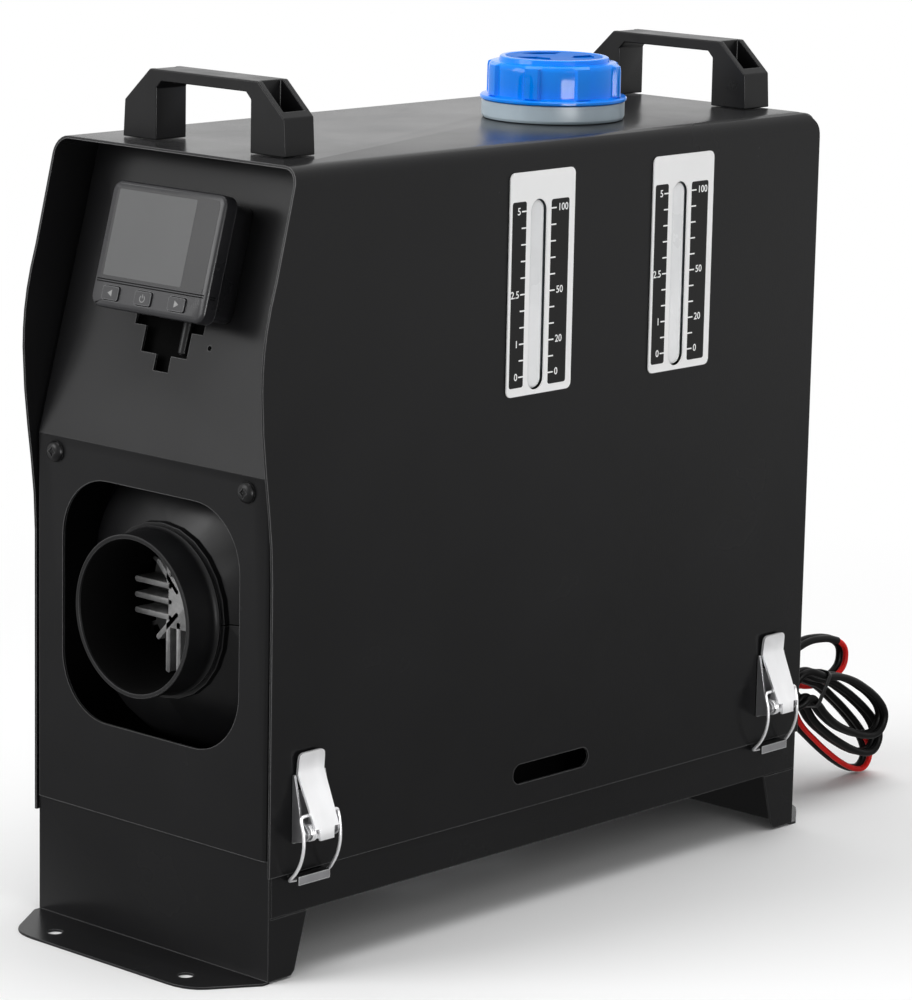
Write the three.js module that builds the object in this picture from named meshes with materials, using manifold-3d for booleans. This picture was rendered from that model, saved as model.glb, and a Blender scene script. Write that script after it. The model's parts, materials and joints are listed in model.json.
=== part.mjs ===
// Portable diesel air heater in a folded sheet-steel case, in millimetres.
// X is the width, -Y the side the warm air leaves by, +Z up. The origin lies on the floor, at the
// middle of the case's footprint.

import * as THREE from 'three';
import { mergeVertices } from 'three/addons/utils/BufferGeometryUtils.js';
import Module from 'manifold-3d';

const wasm = await Module();
wasm.setup();

// ---------------------------------------------------------------- driving dimensions

const gap = 0.3; // between pieces that touch
const sheet = 1.2; // thickness of the folded steel

// case
const caseWidth = 150;
const caseTop = 350;
const coverBend = 8; // outer radius of the cover's two long bends
const coverSkirt = 47.5; // height of the cover's lower edge
const coverFront = -179; // straight lower part of the cover's front edges
const coverBelly = -186; // furthest forward that the front edges swing
const coverBellyHeight = 258;
const coverLip = -166.5; // front edge of the cover's top
const coverLean = { foot: 45, inset: 11.9 }; // straight front edge: above the belly, ahead of the lip
const coverSwell = { near: 14, far: 27, ease: 1.6 }; // curve from there to the belly
const coverFall = { near: 33, far: 53, end: 83, ease: 0.4 }; // curve from the belly down
const coverRear = 181;
const coverRearCorner = 12;
const frontFace = -179.6; // front panel's face
const frontSeam = 54.2; // top of the foot plates, where the panels start
const frontBendHeight = 220; // above it the front panel leans back
const frontLean = THREE.MathUtils.degToRad(15.5);
const panelBend = 2; // outer radius of the panels' side bends
const panelReturn = 12; // depth of the panels' side returns
const panelPlay = 1.1; // between a panel's return and the cover
const rearFace = 179.8; // rear panel's face

// warm-air opening and heater axis
const airHeight = 150.6;
const airOpening = { width: 111.4, height: 108.3, corner: 28 };

// cut-out under the controller: three steps, each with its half width and its lower edge up the slope
const cutOutOffset = -4.1;
const cutOutTop = 80;
const cutOutSteps = [
  { half: 21.3, low: 54.5 },
  { half: 14.3, low: 43.2 },
  { half: 4.6, low: 36 },
];
const pinHole = { x: 22.5, up: 49.6, radius: 1.25 };

// panel screws
const screwHead = 4.75; // radius
const screwShank = 2.5;
const screwX = 60;
const screwHeight = frontBendHeight - 7;

// base
const trayFloor = 28.9; // underside of the tray
const trayWallTop = 54;
const baseInset = 0.4; // between the base's sides and the inside of the cover
const frontPlate = -177.8; // outer face of the front foot's plate
const rearPlate = 181.3;
const footLength = 30.8; // of the floor flanges, out from the plates
const footReach = footLength - frontPlate;
const flangeShoulder = 60; // half width where the slanting edges end
const flangeFlat = 43; // half width of the straight end edge
const flangeHole = { x: 42, inset: 12.3, radius: 3.5 };
const gussetTopDepth = 23.2;
const gussetFootDepth = 16;

// handles
const handleDepth = 18;
const handleYs = { front: -141, rear: 164 };
const handleRise = 31; // above the cover
const handleShoulderRise = 16.5;
const handleFootHalf = 50;
const handleTopHalf = 33.2;
const gripHalf = 29; // half width of the finger opening
const gripThickness = 5;
const gripCorner = 3;
const handlePocketWall = 3;

// fuel tank and its cap
const tankWidth = 140;
const tankBottom = 238;
const tankWall = 2.5;
const tankCorner = 10;
const tankRear = 170;
const tankFrontPlay = 9; // between the tank and the leaning panel, level with the floor
const neckX = 15;
const neckY = 58;
const neckCollar = 33; // radius of the white collar on the cover
const collarHeight = 8.3;
const neckRadius = 27; // threaded mouth inside the cap
const neckBore = 22;
const mouthHeight = 21; // above the cover
const capFlange = 33.8;
const capFlangeHeight = 2;
const capRadius = 31.6;
const capRise = 26; // top of the ribbed body above the cover
const capRibs = 8;
const capRibHeight = 1.6;
const capCrown = 25.4; // radius of the raised disk
const capCrownHeight = 2.4;
const capLift = 8; // rise in two turns of the thread
const sealHeight = 2;

// level gauge plates on the right side
const gaugeWidth = 42.6;
const gaugeHeight = 99.3;
const gaugeBottom = 238.1;
const gaugeYs = { front: -15.8, rear: 80.5 };
const gaugeThickness = 0.6;
const gaugeSlot = { width: 10.7, height: 85, up: 1.9, shift: -2.4 };
const gaugeSlotRim = 1.4; // the cover's own slot is this much larger all round

// slots low in both sides of the cover
const sideSlot = { length: 51.4, height: 9.2, z: 64 };

// controller on the leaning panel, measured up the slope from the bend line
const controller = { width: 70, bottom: 58.3, height: 55.1, corner: 5, proud: 19.9, faceDepth: 7 };
const controllerBackInset = 2.5;
const screen = { left: -29.5, right: 30.5, low: 71.6, high: 110, depth: 2 };
const button = { width: 10, height: 6, up: 64.6, depth: 3.4, proud: 0.9, travel: 0.8 };
const buttonXs = { left: -22.5, power: -2.3, right: 18.5 };

// latches, as (distance out from the cover's side, height)
const latchYs = { front: -156.9, rear: 156.9 };
const latchPivot = { out: 7.5, z: 66.5 };
const latchPin = 1.5; // radius
const bailPivot = { out: 7.5, z: 74.2 };
const bailWire = 0.9; // radius
const bailHalf = 11; // half the spacing of the bail's legs
const bailHook = { out: 0.2, z: 44.4 }; // where the bail's end lies under the catch
const bailLine = [[1.6, 66], [1, 57], [-2.8, 49]]; // a leg's way down: out from its pivot, height
const bailToe = { out: 1, rise: 0.8 }; // from the hook to the end of the leg
const leverHalf = { tab: 7.7, kink: 7.85, low: 7, tongue: 4.1 };
const leverLine = { tabTop: 100.5, kinkOut: 2.2, kinkZ: 91.5, lowOut: 12.5, lowZ: 68.8, tabOut: 3 };
const tongueBottom = 63.5;
const earHalf = 9.4; // outer faces of the bracket's ears
const bracketTop = 84;
const bracketBottom = 61;
const catchHalf = 9.5;
const catchOut = 4.8;
const catchTop = 47;
const catchBottom = 43;

// warm-air heater inside the case
const casingWidth = 124;
const casingHeight = 132;
const casingCorner = 40;
const casingWall = 3;
const casingFront = -172;
const casingRear = 148;
const frontTaper = { end: 9, full: 26, share: 0.84 }; // the casing narrows towards its mouths
const rearTaper = { end: 8, full: 30, share: 0.91 };
const spigotRadius = 35.8;
const spigotWall = 2;
const spigotRim = -190;
const exchanger = { core: 32, bore: 26, fins: 14, fin: 2, front: -148, rear: -4, closed: 10 };
const burner = { radius: 24, wall: 2, flange: 31, tail: 20, mouth: 60 };
const plug = { radius: 3, boss: 6.5, rise: 6, tip: 8, head: 6, pin: 13, y: 10 };
const motor = { radius: 26, front: 50, rear: 106, arm: 8, armDepth: 5 };
const shaftRadius = 3;
const combustionWheel = { radius: 21, y: 32, depth: 12, vanes: 8 };
const blower = { radius: 46, hub: 14, y: 124, depth: 16, blades: 9 };
const intake = { radius: 49, rear: 177, bars: 7 };
const gasketRoom = 4.6; // between the cradle and the casing
const cradleTop = airHeight - casingHeight / 2 - gasketRoom;
const cradleHalfWidth = 56;
const cradleHalfLength = 60;
const gasketHalf = { x: 45, y: 50 };
const pipe = { radius: 12, wall: 1.5, bottom: 8, exhaustY: -25, airY: 25 };
const control = { width: 42, length: 58, height: 24 };

// fuel system on the tray floor
const pump = { x: -34, z: 47, radius: 14, front: 72, rear: 150, nipple: 3, reach: 10, saddle: [26, 46] };
const filter = { x: 34, z: 47, radius: 11, front: 84, rear: 138, nipple: 9, post: 5 };
const fuelHose = 2.6; // radius
const outlet = { x: 60, y: 150, radius: 4, length: 9 };
const suction = { behind: 16, bend: 30, middle: 120, low: 70, aside: 12 }; // the hose from the tank
const feed = { run: 76.6, bend: 66.6, rise: 46.6, end: 38.6 }; // the last hose, below the heater's axis
const feedYs = { rear: 110, front: 20, bend: -10, rise: -20, end: -24 };
const feedStart = { ahead: 4, behind: 19, aside: 14, up: 6 };
const crossLine = { ahead: 7, across: 11, turn: 5 }; // the hose from the filter to the pump

// power leads behind the case
const lead = { radius: 1.5, exitX: 34, exitZ: 70, spread: 2.4 };
const grommet = { radius: 8, flange: 10.5, flangeDepth: 2.5 };
const hankStart = { x: 28, y: 211, z: 64 };
const hankPitch = 7.8; // from loop to loop, the two leads side by side
const hankHalf = 12; // half the width of a loop
const hankWaist = { at: 14, share: 0.34, spread: 12 }; // drawn in under the tie
const hankLoops = [
  { fall: 2, reach: 63 },
  { fall: 38, reach: 95 },
  { fall: 33, reach: 86 },
  { fall: 27, reach: 74 },
];
const hankTie = { width: 5, wall: 1.2, half: 17.6, fall: 19 };

// ---------------------------------------------------------------- worked out from them

const side = caseWidth / 2;
const inside = side - sheet;
const baseHalf = inside - baseInset;
const panelHalf = inside - panelPlay;
const underside = caseTop - sheet;
const leanPoint = (up, out) => [
  0,
  frontFace + up * Math.sin(frontLean) - out * Math.cos(frontLean),
  frontBendHeight + up * Math.cos(frontLean) + out * Math.sin(frontLean),
];
const middleOf = (a, b) => (a + b) / 2;

// ---------------------------------------------------------------- materials

const finish = (color, roughness, metalness) =>
  new THREE.MeshStandardMaterial({ color, roughness, metalness });
const blackSteel = finish(0x2a2a2c, 0.5, 0.3);
const blackPlastic = finish(0x18181a, 0.45, 0);
const greyPlastic = finish(0x3a3a3d, 0.5, 0);
const bluePlastic = finish(0x006ef0, 0.35, 0);
const tankPlastic = finish(0xe8ebec, 0.4, 0);
const rubber = finish(0x151515, 0.8, 0);
const zinc = finish(0xe6e6e8, 0.3, 0.9);
const aluminium = finish(0xa6a8aa, 0.45, 0.9);
const steel = finish(0x8d8f92, 0.35, 1);
const labelWhite = finish(0xf2f2f2, 0.5, 0);
const screenGrey = finish(0x5c5f60, 0.15, 0);
const redLead = finish(0xe0201c, 0.4, 0);
const blackLead = finish(0x1b1b1d, 0.45, 0);

// ---------------------------------------------------------------- building blocks

function toSolid(geometry) {
  const bare = geometry.clone();
  bare.deleteAttribute('normal');
  bare.deleteAttribute('uv');
  const merged = mergeVertices(bare, 1e-4);
  return new wasm.Manifold(new wasm.Mesh({
    numProp: 3,
    vertProperties: Float32Array.from(merged.attributes.position.array),
    triVerts: Uint32Array.from(merged.index.array),
  }));
}

function toGeometry(solid) {
  const mesh = solid.getMesh();
  const geometry = new THREE.BufferGeometry();
  geometry.setAttribute('position', new THREE.BufferAttribute(mesh.vertProperties, 3));
  geometry.setIndex(new THREE.BufferAttribute(mesh.triVerts, 1));
  geometry.computeVertexNormals();
  return geometry;
}

const join = (...solids) => solids.reduce((whole, next) => whole.add(next));
const cut = (body, ...tools) => tools.reduce((whole, tool) => whole.subtract(tool), body);

function shapeOf(points) {
  return new THREE.Shape(points.map(([x, y]) => new THREE.Vector2(x, y)));
}

function extruded(shape, depth, segments = 6) {
  return new THREE.ExtrudeGeometry(shape, { depth, bevelEnabled: false, curveSegments: segments });
}

// a (Y, Z) shape drawn out along X, an (X, Z) shape along Y and an (X, Y) shape along Z
function alongX(shape, from, to, segments) {
  const geometry = extruded(shape, to - from, segments);
  geometry.applyMatrix4(new THREE.Matrix4().makeBasis(
    new THREE.Vector3(0, 1, 0), new THREE.Vector3(0, 0, 1), new THREE.Vector3(1, 0, 0)));
  return toSolid(geometry.translate(from, 0, 0));
}

function alongY(shape, from, to, segments) {
  const geometry = extruded(shape, to - from, segments);
  return toSolid(geometry.rotateX(Math.PI / 2).translate(0, to, 0));
}

function alongZ(shape, from, to, segments) {
  return toSolid(extruded(shape, to - from, segments).translate(0, 0, from));
}

function block(x0, x1, y0, y1, z0, z1) {
  const geometry = new THREE.BoxGeometry(x1 - x0, y1 - y0, z1 - z0);
  return toSolid(geometry.translate(middleOf(x0, x1), middleOf(y0, y1), middleOf(z0, z1)));
}

// a profile of [radius, height] turned about Z, closed on itself or on the axis
function turned(profile, segments = 24) {
  const points = profile.map(([radius, height]) => new THREE.Vector2(radius, height));
  return toSolid(new THREE.LatheGeometry(points, segments).rotateX(Math.PI / 2));
}

function ring(inner, outer, from, to, segments) {
  const profile = [[outer, from], [outer, to], [inner, to], [inner, from], [outer, from]];
  return turned(profile, segments);
}

function rod(radius, from, to, segments = 24) {
  return turned([[0, from], [radius, from], [radius, to], [0, to]], segments);
}

// turns a solid made about Z so that it lies about Y, its height running to +Y
const aboutY = (solid, x = 0, z = 0) => solid.rotate([-90, 0, 0]).translate([x, 0, z]);

function roundRect(centreX, centreY, width, height, radius) {
  const [x0, x1] = [centreX - width / 2, centreX + width / 2];
  const [y0, y1] = [centreY - height / 2, centreY + height / 2];
  const shape = new THREE.Shape();
  shape.moveTo(x0 + radius, y0);
  shape.lineTo(x1 - radius, y0);
  shape.absarc(x1 - radius, y0 + radius, radius, -Math.PI / 2, 0);
  shape.lineTo(x1, y1 - radius);
  shape.absarc(x1 - radius, y1 - radius, radius, 0, Math.PI / 2);
  shape.lineTo(x0 + radius, y1);
  shape.absarc(x0 + radius, y1 - radius, radius, Math.PI / 2, Math.PI);
  shape.lineTo(x0, y0 + radius);
  shape.absarc(x0 + radius, y0 + radius, radius, Math.PI, 1.5 * Math.PI);
  return shape;
}

const obround = (x, y, width, height) =>
  roundRect(x, y, width, height, Math.min(width, height) / 2 - 0.01);

// a tube of the given radius that follows a smooth line through the points
function tube(points, radius, sides, steps) {
  const curve = new THREE.CatmullRomCurve3(
    points.map((p) => new THREE.Vector3(...p)), false, 'centripetal');
  const section = new THREE.Shape();
  for (let i = 0; i < sides; i += 1) {
    const angle = (2 * Math.PI * i) / sides;
    const corner = [radius * Math.cos(angle), radius * Math.sin(angle)];
    if (i === 0) section.moveTo(...corner);
    else section.lineTo(...corner);
  }
  return toSolid(new THREE.ExtrudeGeometry(section, { steps, extrudePath: curve }));
}

const model = new THREE.Group();

function place(name, solid, material, parent = model) {
  const mesh = new THREE.Mesh(toGeometry(solid), material);
  mesh.name = name;
  parent.add(mesh);
  return mesh;
}

// everything on the leaning panel: local Y runs up the slope, local Z straight out of it
const slope = new THREE.Group();
slope.position.set(0, frontFace, frontBendHeight);
slope.rotation.x = Math.PI / 2 - frontLean;
model.add(slope);

// ---------------------------------------------------------------- case

// the section across the cover or anything that fits under it, round at its two upper corners
function arch(half, top, radius, bottom) {
  const shape = new THREE.Shape();
  shape.moveTo(-half, bottom);
  shape.lineTo(half, bottom);
  shape.lineTo(half, top - radius);
  shape.absarc(half - radius, top - radius, radius, 0, Math.PI / 2);
  shape.lineTo(radius - half, top);
  shape.absarc(radius - half, top - radius, radius, Math.PI / 2, Math.PI);
  return shape;
}

// the cover's side view: the front edge swells forward, then leans back to the top
function coverSideView() {
  const shape = new THREE.Shape();
  const belly = coverBellyHeight;
  shape.moveTo(coverRear, coverSkirt);
  shape.lineTo(coverRear, caseTop - coverRearCorner);
  shape.absarc(coverRear - coverRearCorner, caseTop - coverRearCorner, coverRearCorner, 0, Math.PI / 2);
  shape.lineTo(coverLip, caseTop);
  shape.lineTo(coverLip - coverLean.inset, belly + coverLean.foot);
  shape.bezierCurveTo(coverBelly + coverSwell.ease, belly + coverSwell.far,
    coverBelly, belly + coverSwell.near, coverBelly, belly);
  shape.bezierCurveTo(coverBelly + coverFall.ease, belly - coverFall.near,
    coverFront, belly - coverFall.far, coverFront, belly - coverFall.end);
  shape.lineTo(coverFront, coverSkirt);
  return shape;
}

const neckHole = new THREE.Vector3(neckX, neckY, 0);

function coverShell() {
  const shell = cut(
    alongY(arch(side, caseTop, coverBend, coverSkirt), coverBelly - 5, coverRear + 5, 3),
    alongY(arch(inside, underside, coverBend - sheet, 0), coverBelly - 6, coverRear + 6, 3));
  const outline = alongX(coverSideView(), -side - 1, side + 1, 5);
  const neck = rod(neckCollar - 3, underside - 1, caseTop + 1, 24).translate(neckHole.toArray());
  const slots = obround(0, sideSlot.z, sideSlot.length, sideSlot.height);
  const gauges = Object.values(gaugeYs).map((y) => alongX(
    gaugeOpening(y, gaugeSlot.width + 2 * gaugeSlotRim, gaugeSlot.height + 2 * gaugeSlotRim),
    inside - 1, side + 1, 4));
  return cut(shell.intersect(outline), neck, alongX(slots, -side - 1, side + 1, 4), ...gauges);
}

function gaugeOpening(y, width, height) {
  const middle = gaugeBottom + gaugeSlot.up + gaugeSlot.height / 2;
  return obround(y + gaugeSlot.shift, middle, width, height);
}

function gaugePlate(y) {
  const plate = roundRect(y, gaugeBottom + gaugeHeight / 2, gaugeWidth, gaugeHeight, 1.5);
  plate.holes.push(new THREE.Path(
    gaugeOpening(y, gaugeSlot.width, gaugeSlot.height).getPoints(5)));
  return alongX(plate, side + gap, side + gap + gaugeThickness, 2);
}

// a panel's section in (X, Y): a face with two round bends and returns that run into the case
function panelSection(half, depth) {
  const wall = (reach, radius, from) => {
    const shape = new THREE.Shape();
    shape.moveTo(-reach, depth);
    shape.lineTo(-reach, from + radius);
    shape.absarc(radius - reach, from + radius, radius, Math.PI, 1.5 * Math.PI);
    shape.lineTo(reach - radius, from);
    shape.absarc(reach - radius, from + radius, radius, -Math.PI / 2, 0);
    shape.lineTo(reach, depth);
    return shape;
  };
  const outer = wall(half, panelBend, 0);
  const inner = wall(half - sheet, panelBend - sheet, sheet);
  return new THREE.Shape([...outer.getPoints(3), ...inner.getPoints(2).reverse()]);
}

// the room inside the cover, for what must clear its round corners
const coverRoom = () =>
  alongY(arch(inside - gap, underside - gap, coverBend - sheet, 0), coverBelly - 8, coverRear + 8, 4);

function frontPanel() {
  const far = 400;
  const section = panelSection(panelHalf, panelReturn);
  const fold = new THREE.Vector3(0, Math.sin(frontLean / 2), Math.cos(frontLean / 2));
  const bend = fold.dot(new THREE.Vector3(0, frontFace, frontBendHeight));
  const overlap = 0.15;
  const lower = alongZ(section, frontSeam + gap, frontBendHeight + 20, 3)
    .translate([0, frontFace, 0])
    .trimByPlane(fold.clone().negate().toArray(), -bend - overlap);
  const upper = alongZ(section, -20, far, 3)
    .rotate([-THREE.MathUtils.radToDeg(frontLean), 0, 0])
    .translate([0, frontFace, frontBendHeight])
    .trimByPlane(fold.toArray(), bend - overlap);
  const opening = roundRect(0, airHeight - 0.5, airOpening.width, airOpening.height, airOpening.corner);
  const screwHoles = [-screwX, screwX].map((x) =>
    aboutY(rod(screwShank + gap, frontFace - 1, frontFace + 5, 12), x, screwHeight));
  const leaning = (solid) => solid
    .rotate([90 - THREE.MathUtils.radToDeg(frontLean), 0, 0])
    .translate([0, frontFace, frontBendHeight]);
  const steps = cutOutSteps.map(({ half, low }) =>
    leaning(block(cutOutOffset - half, cutOutOffset + half, low, cutOutTop, -5, 5)));
  const pin = leaning(rod(pinHole.radius, -5, 5, 8).translate([pinHole.x, pinHole.up, 0]));
  const panel = cut(join(lower, upper), alongY(opening, frontFace - 5, frontFace + 5, 6),
    ...screwHoles, ...steps, pin);
  return panel.intersect(coverRoom());
}

function rearPanel() {
  const section = panelSection(panelHalf, panelReturn);
  const panel = alongZ(section, frontSeam + gap, caseTop, 3).scale([1, -1, 1])
    .translate([0, rearFace, 0]);
  const vent = aboutY(rod(intake.radius + gap, rearFace - 5, rearFace + 5, 28), 0, airHeight);
  const exit = aboutY(
    rod(grommet.radius + gap, rearFace - 5, rearFace + 5, 14), lead.exitX, lead.exitZ);
  return cut(panel, vent, exit).intersect(coverRoom());
}

// one catch on the tray's right side: a web out of the wall and a lip turned down over the bail
function catchOn(y) {
  const hook = shapeOf([[-sheet, catchTop], [-sheet, catchTop - sheet],
    [catchOut - sheet, catchTop - sheet], [catchOut - sheet, catchBottom], [catchOut, catchBottom],
    [catchOut, catchTop]].map(([out, z]) => [side + out, z]));
  const lip = alongY(hook, y - catchHalf, y + catchHalf);
  return join(lip, block(baseHalf - sheet / 2, side, y - catchHalf, y + catchHalf,
    catchTop - sheet, catchTop));
}

const mirrored = (solid) => solid.scale([-1, 1, 1]);

function baseTray() {
  const front = frontPlate + sheet + gap;
  const rear = rearPlate - sheet - gap;
  const box = block(-baseHalf, baseHalf, front, rear, trayFloor, trayWallTop);
  const hollow = block(sheet - baseHalf, baseHalf - sheet, front + sheet, rear - sheet,
    trayFloor + sheet, trayWallTop + 1);
  const catches = Object.values(latchYs).flatMap((y) => [catchOn(y), mirrored(catchOn(y))]);
  const pipeHoles = [pipe.exhaustY, pipe.airY].map((y) =>
    rod(pipe.radius + 1, trayFloor - 1, trayFloor + 5, 14).translate([0, y, 0]));
  return cut(join(cut(box, hollow), ...catches), ...pipeHoles);
}

// a foot for the front end: an upright plate with a floor flange and a gusset folded back each side
function foot(plate) {
  const reach = -footReach;
  const upright = block(-baseHalf, baseHalf, plate, plate + sheet, 0, frontSeam);
  const flange = new THREE.Shape();
  flange.moveTo(baseHalf, plate + sheet);
  flange.lineTo(baseHalf, plate - 3);
  flange.lineTo(flangeShoulder, reach + 7);
  flange.quadraticCurveTo(flangeShoulder - 5, reach, flangeFlat, reach);
  flange.lineTo(-flangeFlat, reach);
  flange.quadraticCurveTo(5 - flangeShoulder, reach, -flangeShoulder, reach + 7);
  flange.lineTo(-baseHalf, plate - 3);
  flange.lineTo(-baseHalf, plate + sheet);
  const holes = [-flangeHole.x, flangeHole.x].map((x) =>
    rod(flangeHole.radius, -1, 3, 16).translate([x, reach + flangeHole.inset, 0]));
  const gussetTop = trayFloor - gap;
  const gusset = shapeOf([[plate, 1], [plate + gussetFootDepth - 2, 1],
    [plate + gussetFootDepth, 3], [plate + gussetTopDepth, gussetTop], [plate, gussetTop]]);
  const gussets = [[-baseHalf, sheet - baseHalf], [baseHalf - sheet, baseHalf]]
    .map(([from, to]) => alongX(gusset, from, to));
  return cut(join(upright, alongZ(flange, 0, sheet, 5), ...gussets), ...holes);
}

place('cover_shell', coverShell(), blackSteel);
place('front_panel', frontPanel(), blackSteel);
place('rear_panel', rearPanel(), blackSteel);
place('base_tray', baseTray(), blackSteel);
place('front_foot', foot(frontPlate), blackSteel);
place('rear_foot', foot(-rearPlate).scale([1, -1, 1]), blackSteel);
for (const [end, y] of Object.entries(gaugeYs)) {
  place(`level_plate_${end}`, gaugePlate(y), labelWhite);
}

function panelScrew(x) {
  const head = [[0, 0], [screwHead * 0.55, 0], [screwHead * 0.9, 0.9], [screwHead, 2.1],
    [screwHead, 2.6], [screwShank, 2.6], [screwShank, 9], [0, 9]];
  return aboutY(turned(head, 12), x, screwHeight).translate([0, frontFace - gap - 2.6, 0]);
}
place('panel_screw_left', panelScrew(-screwX), blackPlastic);
place('panel_screw_right', panelScrew(screwX), blackPlastic);

// ---------------------------------------------------------------- handles

function handle(y) {
  const seat = caseTop + gap;
  const top = caseTop + handleRise;
  const shoulder = caseTop + handleShoulderRise;
  const outline = shapeOf([[-handleFootHalf, seat], [-gripHalf, seat],
    [-gripHalf, top - gripThickness - gripCorner], [gripCorner - gripHalf, top - gripThickness],
    [gripHalf - gripCorner, top - gripThickness], [gripHalf, top - gripThickness - gripCorner],
    [gripHalf, seat], [handleFootHalf, seat], [handleFootHalf - 1, shoulder],
    [handleTopHalf, top], [-handleTopHalf, top], [1 - handleFootHalf, shoulder]]);
  const [y0, y1] = [y - handleDepth / 2, y + handleDepth / 2];
  const pocket = block(gripHalf + handlePocketWall, handleFootHalf - 1 - handlePocketWall,
    y0 + handlePocketWall, y1 - handlePocketWall, seat + handlePocketWall, top + 1);
  return cut(alongY(outline, y0, y1), pocket, mirrored(pocket));
}
for (const [end, y] of Object.entries(handleYs)) {
  place(`${end}_handle`, handle(y), blackPlastic);
}

// ---------------------------------------------------------------- fuel tank and cap

// the tank's side view, its front leaning with the panel
function fuelTank() {
  const top = underside - gap;
  const half = tankWidth / 2;
  const sideView = (wall) => {
    const front = (z) => leanPoint((z - frontBendHeight) / Math.cos(frontLean), 0)[1]
      + tankFrontPlay + wall;
    return shapeOf([[front(tankBottom), tankBottom + wall], [tankRear - wall, tankBottom + wall],
      [tankRear - wall, top - wall], [front(top), top - wall]]);
  };
  const body = (wall) => alongX(sideView(wall), wall - half, half - wall)
    .intersect(alongY(roundRect(0, middleOf(tankBottom, top), tankWidth - 2 * wall,
      top - tankBottom - 2 * wall, tankCorner - wall), coverBelly, coverRear, 3));
  const collarFoot = caseTop + gap;
  const collarTop = caseTop + collarHeight;
  const mouth = caseTop + mouthHeight;
  const neck = turned([[0, top - 1], [neckCollar - 4, top - 1], [neckCollar - 4, collarFoot],
    [neckCollar - 0.6, collarFoot], [neckCollar, collarFoot + 1.2], [neckCollar, collarTop],
    [neckRadius, collarTop], [neckRadius, mouth], [0, mouth]], 24);
  const bore = rod(neckBore, top - tankWall - 1, mouth + 1, 20);
  const nipple = rod(outlet.radius, tankBottom - outlet.length, tankBottom + 1, 10);
  const drain = rod(outlet.radius - 1.5, tankBottom - outlet.length - 1, tankBottom + tankWall + 1, 8);
  const at = neckHole.toArray();
  const below = [outlet.x, outlet.y, 0];
  return cut(join(cut(body(0), body(tankWall)), neck.translate(at), nipple.translate(below)),
    bore.translate(at), drain.translate(below));
}

function fillerCap() {
  const seat = caseTop + collarHeight + gap;
  const flangeTop = seat + capFlangeHeight;
  const top = caseTop + capRise;
  const crown = top + capCrownHeight;
  const cavity = caseTop + mouthHeight + sealHeight + 2 * gap;
  const body = turned([[0, seat], [capFlange, seat], [capFlange, flangeTop - 0.5],
    [capFlange - 0.5, flangeTop], [capRadius - capRibHeight, flangeTop], [capRadius - capRibHeight, top - 1],
    [capRadius - capRibHeight - 1, top], [capCrown, top], [capCrown - 0.4, crown],
    [capCrown - 3, crown], [capCrown - 3.4, crown - 1], [0, crown - 1]], 32);
  const bar = block(-capCrown + 3, capCrown - 3, -4.5, 4.5, crown - 1.5, crown);
  const rib = block(capRadius - capRibHeight - 2, capRadius, -6, 6, flangeTop - 0.5, top - 1);
  const ribs = Array.from({ length: capRibs }, (_, i) =>
    rib.rotate([0, 0, (360 / capRibs) * (i + 0.5)]));
  const hollow = rod(neckRadius + 0.6, seat - 1, cavity, 20);
  return cut(join(body, bar, ...ribs), hollow).translate(neckHole.toArray());
}

function capSeal() {
  const seat = caseTop + mouthHeight + gap;
  return ring(neckBore, neckRadius, seat, seat + sealHeight, 20).translate(neckHole.toArray());
}

place('fuel_tank', fuelTank(), tankPlastic);
place('filler_cap', fillerCap(), bluePlastic);
place('cap_seal', capSeal(), rubber);

// ---------------------------------------------------------------- controller

const middleUp = controller.bottom + controller.height / 2;
const faceBack = controller.proud - controller.faceDepth;

function controllerHousing() {
  const front = alongZ(roundRect(0, middleUp, controller.width, controller.height, controller.corner),
    faceBack, controller.proud, 4);
  const back = alongZ(roundRect(0, middleUp, controller.width - 2 * controllerBackInset,
    controller.height - 2 * controllerBackInset, controller.corner - 1), gap, faceBack + 1, 3);
  const glass = block(screen.left - gap, screen.right + gap, screen.low - gap, screen.high + gap,
    controller.proud - screen.depth - gap, controller.proud + 1);
  const wells = Object.values(buttonXs).map((x) => alongZ(
    roundRect(x, button.up, button.width + 2 * gap, button.height + 2 * gap, 1.2),
    controller.proud - button.depth - button.travel - gap, controller.proud + 1, 2));
  return cut(join(front, back), glass, ...wells);
}

function controllerScreen() {
  return block(screen.left, screen.right, screen.low, screen.high,
    controller.proud - screen.depth, controller.proud);
}

function controllerButton(x) {
  return alongZ(roundRect(x, button.up, button.width, button.height, 1),
    controller.proud - button.depth, controller.proud + button.proud, 2);
}

place('controller_housing', controllerHousing(), greyPlastic, slope);
place('controller_screen', controllerScreen(), screenGrey, slope);
for (const [label, x] of Object.entries(buttonXs)) {
  place(`button_${label}`, controllerButton(x), greyPlastic, slope);
}

// ---------------------------------------------------------------- latches

// all on the right side at Y = 0; (out, z) points are measured from the cover's side
const fromSide = (points) => points.map(([out, z]) => [side + out, z]);

function latchBracket() {
  const { out, z } = latchPivot;
  const earSheet = sheet;
  const plate = block(side + gap, side + gap + earSheet, -earHalf, earHalf, bracketBottom, bracketTop);
  const outline = shapeOf(fromSide([[gap, bracketBottom], [out + 1, z - 3.3], [out + 3.2, z - 1],
    [out + 3.2, z + 1], [out + 1, z + 3.4], [out - 2.3, z + 6], [out - 3, z + 10.5],
    [gap + 1.2, bracketTop + 7], [gap, bracketTop + 7]]));
  const ears = [alongY(outline, -earHalf, earSheet - earHalf),
    alongY(outline, earHalf - earSheet, earHalf)];
  const pin = aboutY(rod(latchPin, -earHalf - 0.6, earHalf + 0.6, 8), side + out, z);
  const coil = aboutY(springCoil(), side + out, z);
  return join(plate, ...ears, pin, coil);
}

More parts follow.
